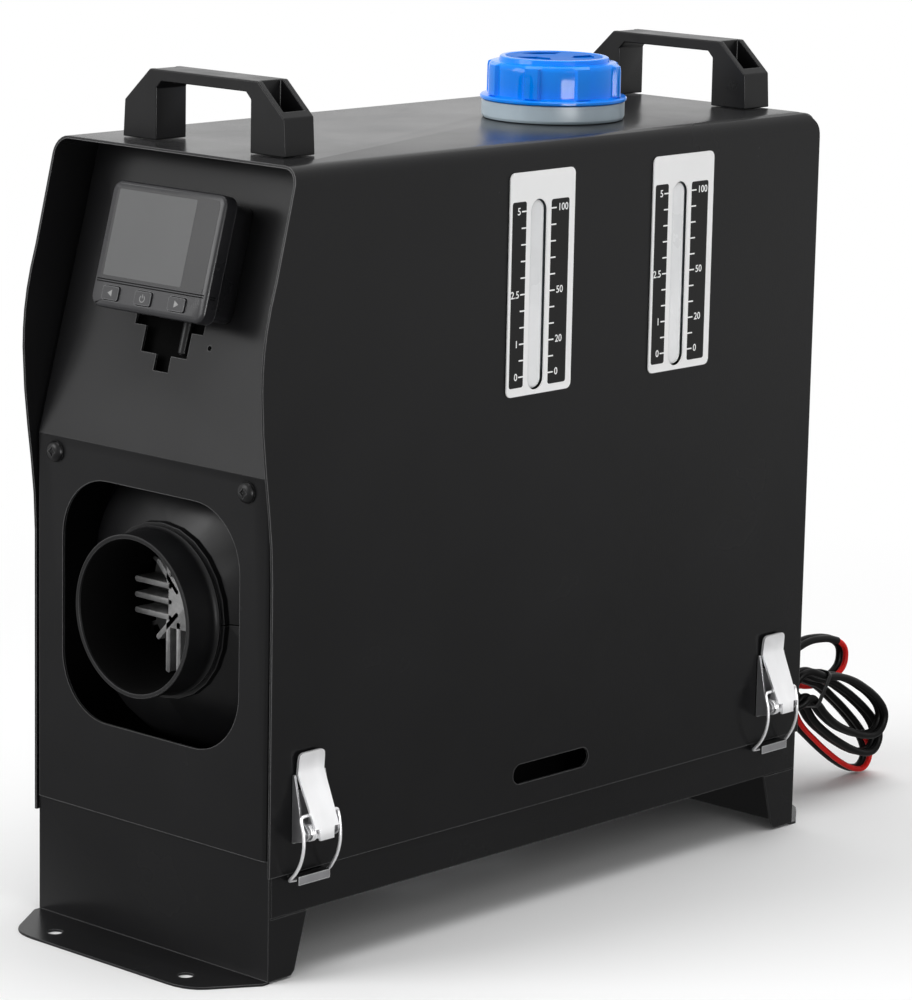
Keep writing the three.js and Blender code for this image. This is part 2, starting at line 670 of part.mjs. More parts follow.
// the turns of the spring that lie round the pin, between the tongue and an ear
function springCoil() {
  const turns = 2;
  const from = -earHalf + sheet + gap;
  const pitch = (earHalf - sheet - leverHalf.tongue - 2 * gap) / turns;
  const profile = [[0, from]];
  for (let i = 0; i < turns; i += 1) {
    const start = from + i * pitch;
    profile.push([latchPin + 0.5, start], [latchPin + 1.2, start + pitch * 0.3],
      [latchPin + 1.2, start + pitch * 0.7]);
  }
  profile.push([latchPin + 0.5, from + turns * pitch], [0, from + turns * pitch]);
  return turned(profile, 8);
}

function latchLever() {
  const { tabOut, tabTop, kinkOut, kinkZ, lowOut, lowZ } = leverLine;
  const thick = sheet * 1.1;
  const sideView = shapeOf(fromSide([[lowOut, tongueBottom], [lowOut, lowZ], [kinkOut, kinkZ],
    [tabOut, tabTop], [tabOut - thick, tabTop], [kinkOut - thick, kinkZ],
    [lowOut - thick, lowZ], [lowOut - thick, tongueBottom]]));
  const face = new THREE.Shape();
  const { tab, kink, low, tongue } = leverHalf;
  face.moveTo(-tongue, tongueBottom - 1);
  face.lineTo(tongue, tongueBottom - 1);
  face.lineTo(tongue, lowZ);
  face.lineTo(low, lowZ);
  face.lineTo(kink, kinkZ);
  face.lineTo(tab, tabTop - 3);
  face.quadraticCurveTo(tab, tabTop, tab - 3, tabTop + 0.01);
  face.lineTo(3 - tab, tabTop + 0.01);
  face.quadraticCurveTo(-tab, tabTop, -tab, tabTop - 3);
  face.lineTo(-kink, kinkZ);
  face.lineTo(-low, lowZ);
  face.lineTo(-tongue, lowZ);
  const plate = alongY(sideView, -9, 9).intersect(
    alongX(face, side - 5, side + 20, 4));
  const { out, z } = latchPivot;
  const cheek = shapeOf(fromSide([[out - 2.9, z - 1.4], [out, z - 2.9], [lowOut - thick / 2, tongueBottom + 1],
    [lowOut - thick / 2, lowZ], [9.4, bailPivot.z + 1.4], [bailPivot.out, bailPivot.z + 2.6],
    [bailPivot.out - 2.5, bailPivot.z], [out - 2.9, z + 1.4]]));
  const cheeks = [alongY(cheek, -tongue, sheet - tongue), alongY(cheek, tongue - sheet, tongue)];
  const pinBore = aboutY(rod(latchPin + gap + 0.1, -9, 9, 8), side + out, z);
  const bailHole = aboutY(rod(bailWire + gap + 0.1, -9, 9, 8), side + bailPivot.out, bailPivot.z);
  return cut(join(plate, ...cheeks), pinBore, bailHole);
}

// the wire bail: its two ends turn in to the lever, its far end lies under the catch
function latchBail() {
  const leg = [[bailPivot.out, bailPivot.z - 1],
    ...bailLine.map(([out, z]) => [bailPivot.out + out, z]),
    [bailHook.out + bailToe.out, bailHook.z + bailToe.rise]];
  const half = (sign) => [
    [side + bailPivot.out, sign * (leverHalf.tongue - sheet - 0.5), bailPivot.z],
    [side + bailPivot.out, sign * (bailHalf - 2), bailPivot.z],
    [side + bailPivot.out, sign * (bailHalf - 0.5), bailPivot.z - 0.3],
    ...leg.map(([out, z]) => [side + out, sign * bailHalf, z]),
    [side + bailHook.out, sign * (bailHalf - 1), bailHook.z]];
  return tube([...half(-1), ...half(1).reverse()], bailWire, 5, 32);
}

const latchPieces = [
  { piece: 'bracket', solid: latchBracket(), material: zinc },
  { piece: 'lever', solid: latchLever(), material: zinc },
  { piece: 'bail', solid: latchBail(), material: zinc },
];
for (const [end, y] of Object.entries(latchYs)) {
  for (const { piece, solid, material } of latchPieces) {
    const seated = solid.translate([0, y, 0]);
    place(`latch_${piece}_${end}_right`, seated, material);
    place(`latch_${piece}_${end}_left`, mirrored(seated), material);
  }
}

// ---------------------------------------------------------------- warm-air heater

// one half of the casing: rings from the front mouth to the rear one, hollow all through
function casingBody(shrink, reach) {
  const ringAt = (y, width, height, corner) => ({ y, width, height, corner });
  const mouth = 2 * (spigotRadius + 3);
  const rearMouth = 2 * (intake.radius + casingWall - 0.5);
  const rings = [
    ringAt(casingFront - reach, mouth, mouth, mouth / 2 - 1),
    ringAt(casingFront + 3, mouth, mouth, mouth / 2 - 1),
    ringAt(casingFront + frontTaper.end, casingWidth * frontTaper.share,
      casingHeight * frontTaper.share, casingCorner),
    ringAt(casingFront + frontTaper.full, casingWidth, casingHeight, casingCorner),
    ringAt(casingRear - rearTaper.full, casingWidth, casingHeight, casingCorner),
    ringAt(casingRear - rearTaper.end, casingWidth * rearTaper.share,
      casingHeight * rearTaper.share, casingCorner),
    ringAt(casingRear + reach, rearMouth, rearMouth, intake.radius),
  ];
  return loft(rings.map(({ y, width, height, corner }) => ({
    y,
    points: roundRect(0, airHeight, width - 2 * shrink, height - 2 * shrink,
      Math.min(corner, width / 2 - 1) - shrink).getPoints(3),
  })));
}

// a closed body through sections of equal point count, each an (X, Z) outline at its own Y
function loft(sections) {
  const count = sections[0].points.length;
  const positions = sections.flatMap(({ y, points }) => points.flatMap((p) => [p.x, y, p.y]));
  const index = [];
  for (let s = 0; s + 1 < sections.length; s += 1) {
    for (let i = 0; i < count; i += 1) {
      const [a, b] = [s * count + i, s * count + ((i + 1) % count)];
      index.push(a, a + count, b, b, a + count, b + count);
    }
  }
  for (const [s, flip] of [[0, false], [sections.length - 1, true]]) {
    const face = THREE.ShapeUtils.triangulateShape(sections[s].points, []);
    for (const [a, b, c] of face) {
      const corners = flip ? [a, c, b] : [a, b, c];
      index.push(...corners.map((corner) => s * count + corner));
    }
  }
  const geometry = new THREE.BufferGeometry();
  geometry.setAttribute('position', new THREE.Float32BufferAttribute(positions, 3));
  geometry.setIndex(index);
  return toSolid(geometry);
}

const casing = cut(casingBody(0, 0), casingBody(casingWall, 1));
const split = airHeight;

function casingHalf(up) {
  const normal = [0, 0, up ? 1 : -1];
  const half = casing.trimByPlane(normal, (up ? split : -split) + gap / 2);
  if (up) return half;
  const holes = [pipe.exhaustY, pipe.airY].map((y) =>
    rod(pipe.radius - pipe.wall, split - casingHeight, split - casingHeight / 2 + 20, 16)
      .translate([0, y, 0]));
  return cut(half, ...holes);
}

function outletSpigot() {
  const back = casingFront - gap;
  const profile = [[spigotRadius - spigotWall, spigotRim], [spigotRadius, spigotRim],
    [spigotRadius, back - 2], [spigotRadius + 2.6, back - 2], [spigotRadius + 2.6, back],
    [spigotRadius - spigotWall, back], [spigotRadius - spigotWall, spigotRim]];
  return aboutY(turned(profile, 28), 0, airHeight);
}

// finned body of the heat exchanger: a cup with fins that reach nearly to the casing
function heatExchanger() {
  const { core, bore, fins, fin, front, rear, closed } = exchanger;
  const outline = [];
  for (let i = 0; i < fins; i += 1) {
    const angle = (2 * Math.PI * i) / fins;
    const [across, up] = [Math.cos(angle), Math.sin(angle)];
    const tip = Math.min(
      (casingWidth / 2 - casingWall - 6) / Math.max(Math.abs(across), 0.01),
      (casingHeight / 2 - casingWall - 6) / Math.max(Math.abs(up), 0.01), core * 1.75);
    const half = fin / 2;
    for (const [reach, offset] of [[core, -half], [tip, -half], [tip, half], [core, half]]) {
      outline.push([across * reach - up * offset, airHeight + up * reach + across * offset]);
    }
  }
  const body = alongY(shapeOf(outline), front, rear);
  const nose = aboutY(turned([[0, front - 1], [core + 4, front - 1], [core * 1.8, front + 22],
    [core * 1.8, rear + 1], [0, rear + 1]], 12), 0, airHeight);
  const flange = alongY(roundRect(0, airHeight, casingWidth - 2 * casingWall - 1,
    casingHeight - 2 * casingWall - 1, casingCorner - casingWall), rear - 4, rear, 3);
  const air = Array.from({ length: 6 }, (_, i) => {
    const angle = (Math.PI * (i + 0.5)) / 3;
    return aboutY(rod(8.5, rear - 5, rear + 1, 8),
      Math.cos(angle) * 45, airHeight + Math.sin(angle) * 46);
  });
  const chamber = aboutY(rod(bore, front + closed, rear + 1, 16), 0, airHeight);
  return cut(join(body.intersect(nose), cut(flange, ...air)), chamber);
}

function burnerTube() {
  const { radius, wall, flange, tail, mouth } = burner;
  const rear = exchanger.rear;
  const front = exchanger.front + mouth;
  const can = turned([[radius - wall, front], [radius, front], [radius, rear + gap],
    [flange, rear + gap], [flange, rear + 3], [radius, rear + 3], [radius, rear + tail],
    [0, rear + tail], [0, rear + tail - wall], [radius - wall, rear + tail - wall],
    [radius - wall, front]], 16);
  const boss = rod(plug.boss, radius - wall - 1, radius + plug.rise, 12);
  const hole = rod(plug.radius + gap, 0, radius + plug.rise + 2, 12);
  const seatBoss = (solid) => solid.translate([0, plug.y, airHeight]);
  return cut(join(aboutY(can, 0, airHeight), seatBoss(boss)), seatBoss(hole));
}

function glowPlug() {
  const { radius, rise, tip, head, pin, y } = plug;
  const [low, seat] = [burner.radius - tip, burner.radius + rise + gap];
  return turned([[0, low], [radius, low], [radius, seat], [radius * 1.8, seat],
    [radius * 1.8, seat + head], [radius / 2, seat + head], [radius / 2, seat + pin],
    [0, seat + pin]], 10).translate([0, y, airHeight]);
}

function blowerMotor() {
  const { radius, front, rear, arm, armDepth } = motor;
  const can = aboutY(rod(radius, front, rear, 20), 0, airHeight);
  const across = casingWidth / 2 - casingWall - gap;
  const up = casingHeight / 2 - casingWall - gap;
  const arms = [block(-across, across, front, front + armDepth, airHeight - arm, airHeight + arm),
    block(-arm, arm, front, front + armDepth, airHeight - up, airHeight + up)];
  return cut(join(can, ...arms), aboutY(rod(shaftRadius + 2 * gap, front - 1, rear + 1, 12), 0, airHeight));
}

const shaftHole = (from, to) => rod(shaftRadius + gap, from - 1, to + 1, 12);

function combustionImpeller() {
  const { radius, y, depth, vanes } = combustionWheel;
  const plate = rod(radius, y + depth - 2, y + depth, 18);
  const hub = rod(shaftRadius + 3, y, y + depth, 12);
  const vane = block(shaftRadius + 2, radius - 0.5, -0.6, 0.6, y + 1, y + depth - 1);
  const turns = Array.from({ length: vanes }, (_, i) => vane.rotate([0, 0, (360 / vanes) * i]));
  return aboutY(cut(join(plate, hub, ...turns), shaftHole(y, y + depth)), 0, airHeight);
}

function blowerWheel() {
  const { radius, hub, y, depth, blades } = blower;
  const core = rod(hub, y, y + depth, 16);
  const blade = block(hub - 2, radius, -0.8, 0.8, -depth * 0.62, depth * 0.62)
    .rotate([38, 0, 0]).translate([0, 0, y + depth / 2]);
  const all = Array.from({ length: blades }, (_, i) => blade.rotate([0, 0, (360 / blades) * i]));
  const drum = rod(radius, y, y + depth, 24);
  return aboutY(cut(join(core, ...all).intersect(drum), shaftHole(y, y + depth)), 0, airHeight);
}

// the heater's own intake: a ring with bars, standing in the rear panel's round opening
function intakeGrille() {
  const { radius, rear, bars } = intake;
  const from = casingRear + gap;
  const wall = 3;
  const body = turned([[radius - wall, from], [radius, from], [radius, rear], [radius - wall, rear],
    [radius - wall, from]], 24);
  const spacing = (2 * radius) / (bars + 1);
  const slats = Array.from({ length: bars }, (_, i) => {
    const x = (i + 1) * spacing - radius;
    return block(x - 1.2, x + 1.2, -radius, radius, rear - 3, rear);
  });
  const tie = block(-radius, radius, -1.2, 1.2, rear - 3, rear);
  const inner = rod(radius - 1, rear - 4, rear + 1, 24);
  return aboutY(join(body, join(...slats, tie).intersect(inner)), 0, airHeight);
}

const casingFloor = airHeight - casingHeight / 2;

function cradle() {
  const top = block(-cradleHalfWidth, cradleHalfWidth, -cradleHalfLength, cradleHalfLength,
    cradleTop - 2, cradleTop);
  const seat = trayFloor + sheet + gap;
  const leg = join(
    block(cradleHalfWidth - 2, cradleHalfWidth, -cradleHalfLength, cradleHalfLength, seat, cradleTop),
    block(cradleHalfWidth - 2, cradleHalfWidth + 10, -cradleHalfLength, cradleHalfLength, seat, seat + 2));
  const holes = [pipe.exhaustY, pipe.airY].map((y) =>
    rod(pipe.radius + 1, cradleTop - 5, cradleTop + 5, 14).translate([0, y, 0]));
  return cut(join(top, leg, mirrored(leg)), ...holes);
}

function gasket() {
  const { x, y } = gasketHalf;
  const plate = alongZ(roundRect(0, 0, 2 * x, 2 * y, 8), cradleTop + gap, casingFloor - gap, 3);
  return cut(plate, ...[pipe.exhaustY, pipe.airY].map((at) =>
    rod(pipe.radius + 1, cradleTop, casingFloor + 1, 14).translate([0, at, 0])));
}

function stubPipe(y) {
  const { radius, wall, bottom } = pipe;
  const top = casingFloor - gap;
  return turned([[radius - wall, bottom], [radius, bottom], [radius, bottom + 3],
    [radius + 0.7, bottom + 4.5], [radius, bottom + 6], [radius, top], [radius - wall, top],
    [radius - wall, bottom]], 14).translate([0, y, 0]);
}

function controlUnit() {
  const { width, length, height } = control;
  const y = motor.front + motor.armDepth + gap + length / 2;
  const top = airHeight + casingHeight / 2 - casingWall - gap;
  return alongZ(roundRect(0, y, width, length, 3), top - height, top, 2);
}

place('heater_lower_casing', casingHalf(false), blackPlastic);
place('heater_upper_casing', casingHalf(true), blackPlastic);
place('outlet_spigot', outletSpigot(), blackPlastic);
place('heat_exchanger', heatExchanger(), aluminium);
place('burner_tube', burnerTube(), steel);
place('glow_plug', glowPlug(), steel);
place('blower_motor', blowerMotor(), steel);
place('motor_shaft', aboutY(rod(shaftRadius, combustionWheel.y - 4, blower.y + blower.depth + 4, 12),
  0, airHeight), steel);
place('combustion_wheel', combustionImpeller(), aluminium);
place('blower_wheel', blowerWheel(), blackPlastic);
place('intake_grille', intakeGrille(), blackPlastic);
place('control_unit', controlUnit(), blackPlastic);
place('heater_cradle', cradle(), blackSteel);
place('heater_gasket', gasket(), rubber);
place('exhaust_pipe', stubPipe(pipe.exhaustY), steel);
place('combustion_air_pipe', stubPipe(pipe.airY), steel);

// ---------------------------------------------------------------- fuel line, filter and pump

const fuelFilter = () => {
  const { x, z, radius, front, rear, nipple } = filter;
  return aboutY(turned([[0, front - nipple], [2, front - nipple], [2, front], [radius - 2, front],
    [radius, front + 3], [radius, rear - 3], [radius - 2, rear], [2, rear], [2, rear + nipple],
    [0, rear + nipple]], 16), x, z);
};

// the dosing pump, with the rubber saddle that holds it to the tray
function fuelPump() {
  const { x, z, radius, front, rear, nipple, reach, saddle: [from, to] } = pump;
  const barrel = turned([[0, front - reach], [nipple, front - reach], [nipple, front],
    [radius - 4, front], [radius - 4, front + 12], [radius, front + 14], [radius, rear - 16],
    [radius - 3, rear - 13], [radius - 3, rear], [nipple, rear], [nipple, rear + reach],
    [0, rear + reach]], 16);
  const floor = trayFloor + sheet + gap;
  const saddle = block(x - radius, x + radius, front + from, front + to, floor, z);
  return join(aboutY(barrel, x, z), saddle);
}

// the filter's clip is part of the filter: a post down to the tray
const filterPost = () => block(filter.x - filter.post, filter.x + filter.post,
  filter.front + 3 * filter.post, filter.rear - 5 * filter.post, trayFloor + sheet + gap, filter.z);

function suctionLine() {
  const top = tankBottom - outlet.length - gap;
  const down = casingRear + suction.behind;
  const nipple = filter.rear + filter.nipple + gap;
  return tube([[outlet.x, outlet.y, top], [outlet.x, outlet.y, top - 4],
    [outlet.x + 2, down, top - suction.bend], [outlet.x + 2, down + 2, suction.middle],
    [outlet.x, down + 3, suction.low], [filter.x + suction.aside, down + 2, filter.z + 4],
    [filter.x + 2, nipple + 11, filter.z], [filter.x, nipple + 4, filter.z],
    [filter.x, nipple, filter.z]], fuelHose, 6, 18);
}

function filterLine() {
  const z = filter.z;
  const out = pump.front - pump.reach - gap;
  const from = filter.front - filter.nipple - gap;
  const { ahead, across, turn } = crossLine;
  return tube([[filter.x, from, z], [filter.x, from - 4, z], [filter.x - 2 * ahead, out - ahead, z],
    [middleOf(filter.x, pump.x), out - across, z], [pump.x + 8, out - across, z],
    [pump.x, out - turn, z], [pump.x, out, z]], fuelHose, 6, 14);
}

function feedLine() {
  const wall = -casingWidth / 2 - gap;
  const run = -(casingWidth / 2 + inside) / 2;
  const { ahead, behind, aside, up } = feedStart;
  const start = pump.rear + pump.reach;
  const level = (below) => airHeight - below;
  return tube([[pump.x, start + gap, pump.z], [pump.x, start + ahead, pump.z],
    [pump.x - aside, pump.rear + behind, pump.z + up], [run + 2, pump.rear, pump.z + 3 * up],
    [run, feedYs.rear, level(feed.run)], [run, feedYs.front, level(feed.run)],
    [run, feedYs.bend, level(feed.bend)], [run, feedYs.rise, level(feed.rise)],
    [wall, feedYs.end, level(feed.end)]], fuelHose, 6, 20);
}

place('fuel_filter', join(fuelFilter(), filterPost()), tankPlastic);
place('fuel_pump', fuelPump(), steel);
place('suction_line', suctionLine(), tankPlastic);
place('filter_line', filterLine(), tankPlastic);
place('feed_line', feedLine(), tankPlastic);

// ---------------------------------------------------------------- power leads

// a point of the hank after so many turns: each loop is a long round one that starts and ends at the
// near end, falls by its own angle and reaches its own length. The line steps sideways at that end.
function hankPoint(turns, aside) {
  const last = hankLoops.length - 1;
  const here = Math.min(Math.floor(turns + 0.5), last);
  const before = Math.max(here - 1, 0);
  const blend = THREE.MathUtils.smoothstep(turns - here, -0.16, 0.16);
  const mix = (key) => THREE.MathUtils.lerp(hankLoops[before][key], hankLoops[here][key], blend);
  const angle = Math.PI - 2 * Math.PI * turns;
  const round = (value) => Math.sign(value) * Math.abs(value) ** 0.8;
  const along = (mix('reach') / 2) * (1 + round(Math.cos(angle)));
  const waist = 1 - hankWaist.share * Math.exp(-(((along - hankWaist.at) / hankWaist.spread) ** 2));
  const across = hankHalf * round(Math.sin(angle)) * waist;
  const fall = THREE.MathUtils.degToRad(mix('fall'));
  return [
    hankStart.x + aside + hankPitch * (here - 1 + blend),
    hankStart.y + along * Math.cos(fall) + across * Math.sin(fall),
    hankStart.z - along * Math.sin(fall) + across * Math.cos(fall),
  ];
}

// a lead's bare end stops a little short of the near end
const hankSteps = 24 * hankLoops.length - 3;

function hankLine(aside) {
  return Array.from({ length: hankSteps + 1 }, (_, i) => hankPoint(i / 24, aside));
}

// the least clear distance between stretches of one line that lie over a diameter and a half apart
function leastGap(points) {
  let least = Infinity;
  points.forEach((p, i) => points.slice(i + 5).forEach((q) => {
    least = Math.min(least, Math.hypot(p[0] - q[0], p[1] - q[1], p[2] - q[2]) - 2 * lead.radius);
  }));
  return least;
}

const leads = [
  { colour: 'black', aside: 0, exit: -lead.spread, material: blackLead },
  { colour: 'red', aside: hankPitch / 2, exit: lead.spread, material: redLead },
];
for (const { colour, aside, exit, material } of leads) {
  const line = hankLine(aside);
  console.log(`hank_${colour}: least gap to itself ${leastGap(line).toFixed(2)} mm`);
  place(`hank_${colour}`, tube(line, lead.radius, 6, hankSteps), material);
  const [x, y, z] = hankPoint(0, aside);
  const next = new THREE.Vector3(...line[1]);
  const start = new THREE.Vector3(x, y, z);
  const heading = next.sub(start).normalize();
  const behind = (distance) => start.clone().addScaledVector(heading, -distance).toArray();
  const from = rearFace + grommet.flangeDepth + 2 * gap;
  place(`lead_${colour}`, tube([[lead.exitX + exit, from, lead.exitZ],
    [lead.exitX + exit, from + 5, lead.exitZ], [middleOf(lead.exitX + exit, x), y - 13, z - 5],
    [x, y - 5, z - 12], behind(5), behind(2 * gap)], lead.radius, 8, 14), material);
}

function cableGrommet() {
  const { radius, flange, flangeDepth } = grommet;
  const body = turned([[0, rearFace - 5], [radius + 1.5, rearFace - 5], [radius + 1.5, rearFace - sheet - gap],
    [radius, rearFace - sheet - gap], [radius, rearFace + gap], [flange, rearFace + gap],
    [flange - 1, rearFace + gap + flangeDepth], [0, rearFace + gap + flangeDepth]], 16);
  return aboutY(body, lead.exitX, lead.exitZ);
}

function tieBand() {
  const [x0, x1] = [hankStart.x, hankStart.x + hankPitch * (hankLoops.length + 0.5)];
  const play = lead.radius + 2 * gap;
  const band = (grow) => alongZ(roundRect(middleOf(x0, x1), 0, x1 - x0 + 2 * (play + grow),
    2 * (hankTie.half + grow), 3 + grow), -hankTie.width / 2, hankTie.width / 2, 3);
  const turn = THREE.MathUtils.degToRad(hankTie.fall);
  return cut(band(hankTie.wall), band(0)).rotate([-90 - hankTie.fall, 0, 0]).translate([0,
    hankStart.y + hankWaist.at * Math.cos(turn), hankStart.z - hankWaist.at * Math.sin(turn)]);
}

place('cable_grommet', cableGrommet(), rubber);
place('hank_tie', tieBand(), blackPlastic);

export default model;
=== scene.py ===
"""Portable diesel air heater in a black steel case: finishes and fine shapes over its frame."""

import json
from math import atan2, copysign, cos, degrees, exp, pi, radians, sin

import bmesh
import bpy
from bpy.props import FloatProperty, FloatVectorProperty, IntProperty, PointerProperty
from bpy.types import Operator, Panel, PropertyGroup
from mathutils import Matrix, Vector
from mathutils.geometry import convex_hull_2d

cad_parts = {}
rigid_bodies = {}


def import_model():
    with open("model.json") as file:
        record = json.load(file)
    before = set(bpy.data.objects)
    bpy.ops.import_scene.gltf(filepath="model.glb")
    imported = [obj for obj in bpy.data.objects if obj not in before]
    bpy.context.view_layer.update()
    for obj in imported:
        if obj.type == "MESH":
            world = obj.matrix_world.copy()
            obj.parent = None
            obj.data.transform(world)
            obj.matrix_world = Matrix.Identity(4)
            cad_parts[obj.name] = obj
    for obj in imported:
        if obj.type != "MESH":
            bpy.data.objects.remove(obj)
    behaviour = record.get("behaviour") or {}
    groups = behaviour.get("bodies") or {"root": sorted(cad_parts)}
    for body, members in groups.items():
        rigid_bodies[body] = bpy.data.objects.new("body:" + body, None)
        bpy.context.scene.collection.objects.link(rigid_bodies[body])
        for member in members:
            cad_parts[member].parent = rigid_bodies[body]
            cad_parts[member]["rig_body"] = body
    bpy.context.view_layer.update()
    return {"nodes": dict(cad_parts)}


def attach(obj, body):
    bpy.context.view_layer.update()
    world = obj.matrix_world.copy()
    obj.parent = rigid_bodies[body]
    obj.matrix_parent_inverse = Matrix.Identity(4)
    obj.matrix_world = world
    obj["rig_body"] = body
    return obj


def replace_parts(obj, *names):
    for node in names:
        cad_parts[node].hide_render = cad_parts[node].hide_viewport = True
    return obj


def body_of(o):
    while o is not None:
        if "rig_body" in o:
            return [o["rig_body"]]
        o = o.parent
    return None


bl_info = {
    "name": "Portable Diesel Air Heater",
    "version": (1, 0, 0),
    "blender": (4, 5, 0),
    "location": "3D View > Sidebar > Air Heater",
    "description": "Finishes and fine shapes of a portable diesel air heater",
    "category": "Object",
}

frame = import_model()
MM = 0.001
SIDES = {"right": 1, "left": -1}
ENDS = {"front": -1, "rear": 1}

# sizes shared with the frame, in millimetres
CASE_SIDE = 75
CASE_TOP = 350
NECK = (15, 58)
AIR_HEIGHT = 150.6
PLATE_BOTTOM, PLATE_HEIGHT, PLATE_WIDTH, PLATE_FACE = 238.1, 99.3, 42.6, 75.9
PLATE_YS = {"front": -15.8, "rear": 80.5}
SLOPE_FOOT = (-179.6, 220)
SLOPE_LEAN = radians(15.5)

# local (x, y, z) of the leaning panel: y up the slope, z straight out of it
SLOPE = Matrix.Translation(Vector((0, *SLOPE_FOOT)) * MM) @ Matrix.Rotation(
    pi / 2 - SLOPE_LEAN, 4, "X"
)
# local (x, y, z) of the right side: x runs to the rear, y up, z out of the case
RIGHT_SIDE = Matrix(((0, 0, 1, 0), (1, 0, 0, 0), (0, 1, 0, 0), (0, 0, 0, 1)))


# ---- settings


def length(name, description, default, low, high):
    return FloatProperty(name=name, description=description, default=default, min=low, max=high)


def colour(name, description, default):
    return FloatVectorProperty(name=name, description=description, default=default, size=3,
                               subtype="COLOR", min=0, max=1)


class HeaterSizes(PropertyGroup):
    """Sizes of the fine shapes, in millimetres."""

    sheet_edge: length("Sheet edge", "Rounding of the folded steel's edges", 0.3, 0.05, 0.5)
    plastic_edge: length("Plastic edge", "Rounding of the moulded pieces' edges", 0.7, 0.1, 2)
    black_lead: length("Black lead", "Diameter of the black lead", 3.9, 1, 4)
    red_lead: length("Red lead", "Diameter of the red lead", 2.8, 1, 3.4)
    sleeve: length("Sleeve", "Diameter of the red lead's black sleeve", 3.7, 3, 4)
    tick: length("Tick", "Thickness of a scale mark", 0.65, 0.2, 2)
    figure: length("Figure", "Height of a scale's figures", 3.4, 1, 8)
    cap_segments: IntProperty(
        name="Cap steps", description="Steps round the filler cap", default=192, min=48
    )


class HeaterColours(PropertyGroup):
    """Colours of the heater's finishes."""

    coat: colour("Powder coat", "Black coat of the steel case", (0.0085, 0.0085, 0.009))
    moulding: colour("Black plastic", "Handles and heater", (0.006, 0.006, 0.0065))
    control: colour("Controller", "Grey plastic of the controller", (0.02, 0.02, 0.022))
    cap: colour("Filler cap", "Blue plastic of the cap", (0.0, 0.25, 1.0))
    tank: colour("Tank", "Milky plastic of the tank", (0.5, 0.6, 0.67))
    red_lead: colour("Red lead", "Insulation of the red lead", (0.72, 0.012, 0.01))


def settings():
    return bpy.context.scene.heater_colours


def sizes():
    return bpy.context.scene.heater_sizes


# ---- finishes

# each finish: its colour or the setting that holds it, roughness, specular level, the scale and
# contrast of its patches, the scale and strength of its grain, and what else sets it apart
FINISHES = {
    "satin_powder_coat": (
        "coat", 0.25, 0.15, (18, 0.08), (1400, 0.06), dict(spread=0.03, wear=0.9)),
    "grained_black_plastic": ("moulding", 0.33, 0.2, (60, 0.1), (1800, 0.1), dict(wear=0.6)),
    "heater_casing_plastic": ("moulding", 0.4, 0.22, (40, 0.12), (1200, 0.06), dict(wear=0.5)),
    "controller_plastic": ("control", 0.3, 0.3, (40, 0.12), (2400, 0.05), dict(wear=0.8)),
    "dark_display_window": (
        (0.014, 0.014, 0.015), 0.2, 0.3, (30, 0.03), (300, 0.005), dict(coat=0.1, spread=0.02)),
    "grey_display": (
        (0.062, 0.063, 0.064), 0.24, 0.3, (20, 0.05), (300, 0.005), dict(coat=0.1, spread=0.02)),
    "blue_cap_plastic": ("cap", 0.1, 0.22, (50, 0.04), (700, 0.015), dict(spread=0.03)),
    # the cap's own blue darkened for its crown: painted shade on the cap's top
    "blue_crown_plastic": (
        "cap", 0.35, 0.015, (50, 0.04), (700, 0.015), dict(shade=0.55, spread=0.03)),
    "milky_sight_plastic": (
        (0.88, 0.89, 0.9), 0.3, 0.5, (25, 0.1), (300, 0.06), dict(milky=0.35)),
    "milky_tank_plastic": ("tank", 0.34, 0.5, (45, 0.04), (500, 0.04), dict(milky=0.35)),
    "bright_zinc_plate": ((0.93, 0.93, 0.94), 0.34, 0.5, (90, 0.05), (1500, 0.05),
                          dict(metallic=0.7, stretch=(1, 1, 0.2))),
    # zinc darkened: painted shade on the brackets behind the levers, and a painted sheen on the
    # black catches
    "dull_zinc_plate": (
        (0.3, 0.3, 0.31), 0.42, 0.5, (90, 0.1), (1500, 0.05), dict(metallic=0.8, wear=0.8)),
    "cast_aluminium": (
        (0.34,) * 3, 0.6, 0.5, (200, 0.16), (1100, 0.5), dict(metallic=0.35, spread=0.1)),
    # cast aluminium darkened: painted shade on the heat exchanger deep in the case
    "sooty_cast_aluminium": (
        (0.12,) * 3, 0.7, 0.5, (160, 0.2), (1100, 0.5), dict(metallic=0.4, spread=0.1)),
    "plain_steel": ((0.45, 0.46, 0.47), 0.33, 0.5, (70, 0.1), (900, 0.05),
                    dict(metallic=0.95, stretch=(1, 0.15, 1))),
    "black_rubber": ((0.012,) * 3, 0.7, 0.3, (80, 0.15), (1600, 0.2), {}),
    # near black: the controller's seam lines, and painted shade inside the outlet and behind the
    # controller's cut-out
    "unlit_black": ((0.002,) * 3, 0.9, 0.05, (60, 0.1), (900, 0.05), {}),
    "printed_grey": ((0.2,) * 3, 0.4, 0.5, (60, 0.05), (900, 0.03), {}),
    "white_scale_plate": ((0.97,) * 3, 0.4, 0.5, (30, 0.02), (800, 0.03), dict(spread=0.04)),
    "scale_black_ink": ((0.01,) * 3, 0.35, 0.15, (60, 0.05), (900, 0.03), {}),
    "red_lead_plastic": ("red_lead", 0.42, 0.1, (120, 0.06), (1500, 0.06), {}),
    "black_lead_plastic": ((0.003,) * 3, 0.42, 0.1, (120, 0.06), (1500, 0.06), {}),
    "bare_copper_strands": (
        (0.72, 0.33, 0.18), 0.35, 0.5, (400, 0.2), (2500, 0.5), dict(metallic=0.95)),
}
# width of the paler edges, partly rubbed surface and partly a painted edge highlight
WEAR_AND_GLINT_WIDTH = 0.0007  # metres, as are the next two
GRAIN_DEPTH = 0.0004
MILKY_DEPTH = 0.004
COAT_ROUGHNESS = 0.12

made_finishes = {}


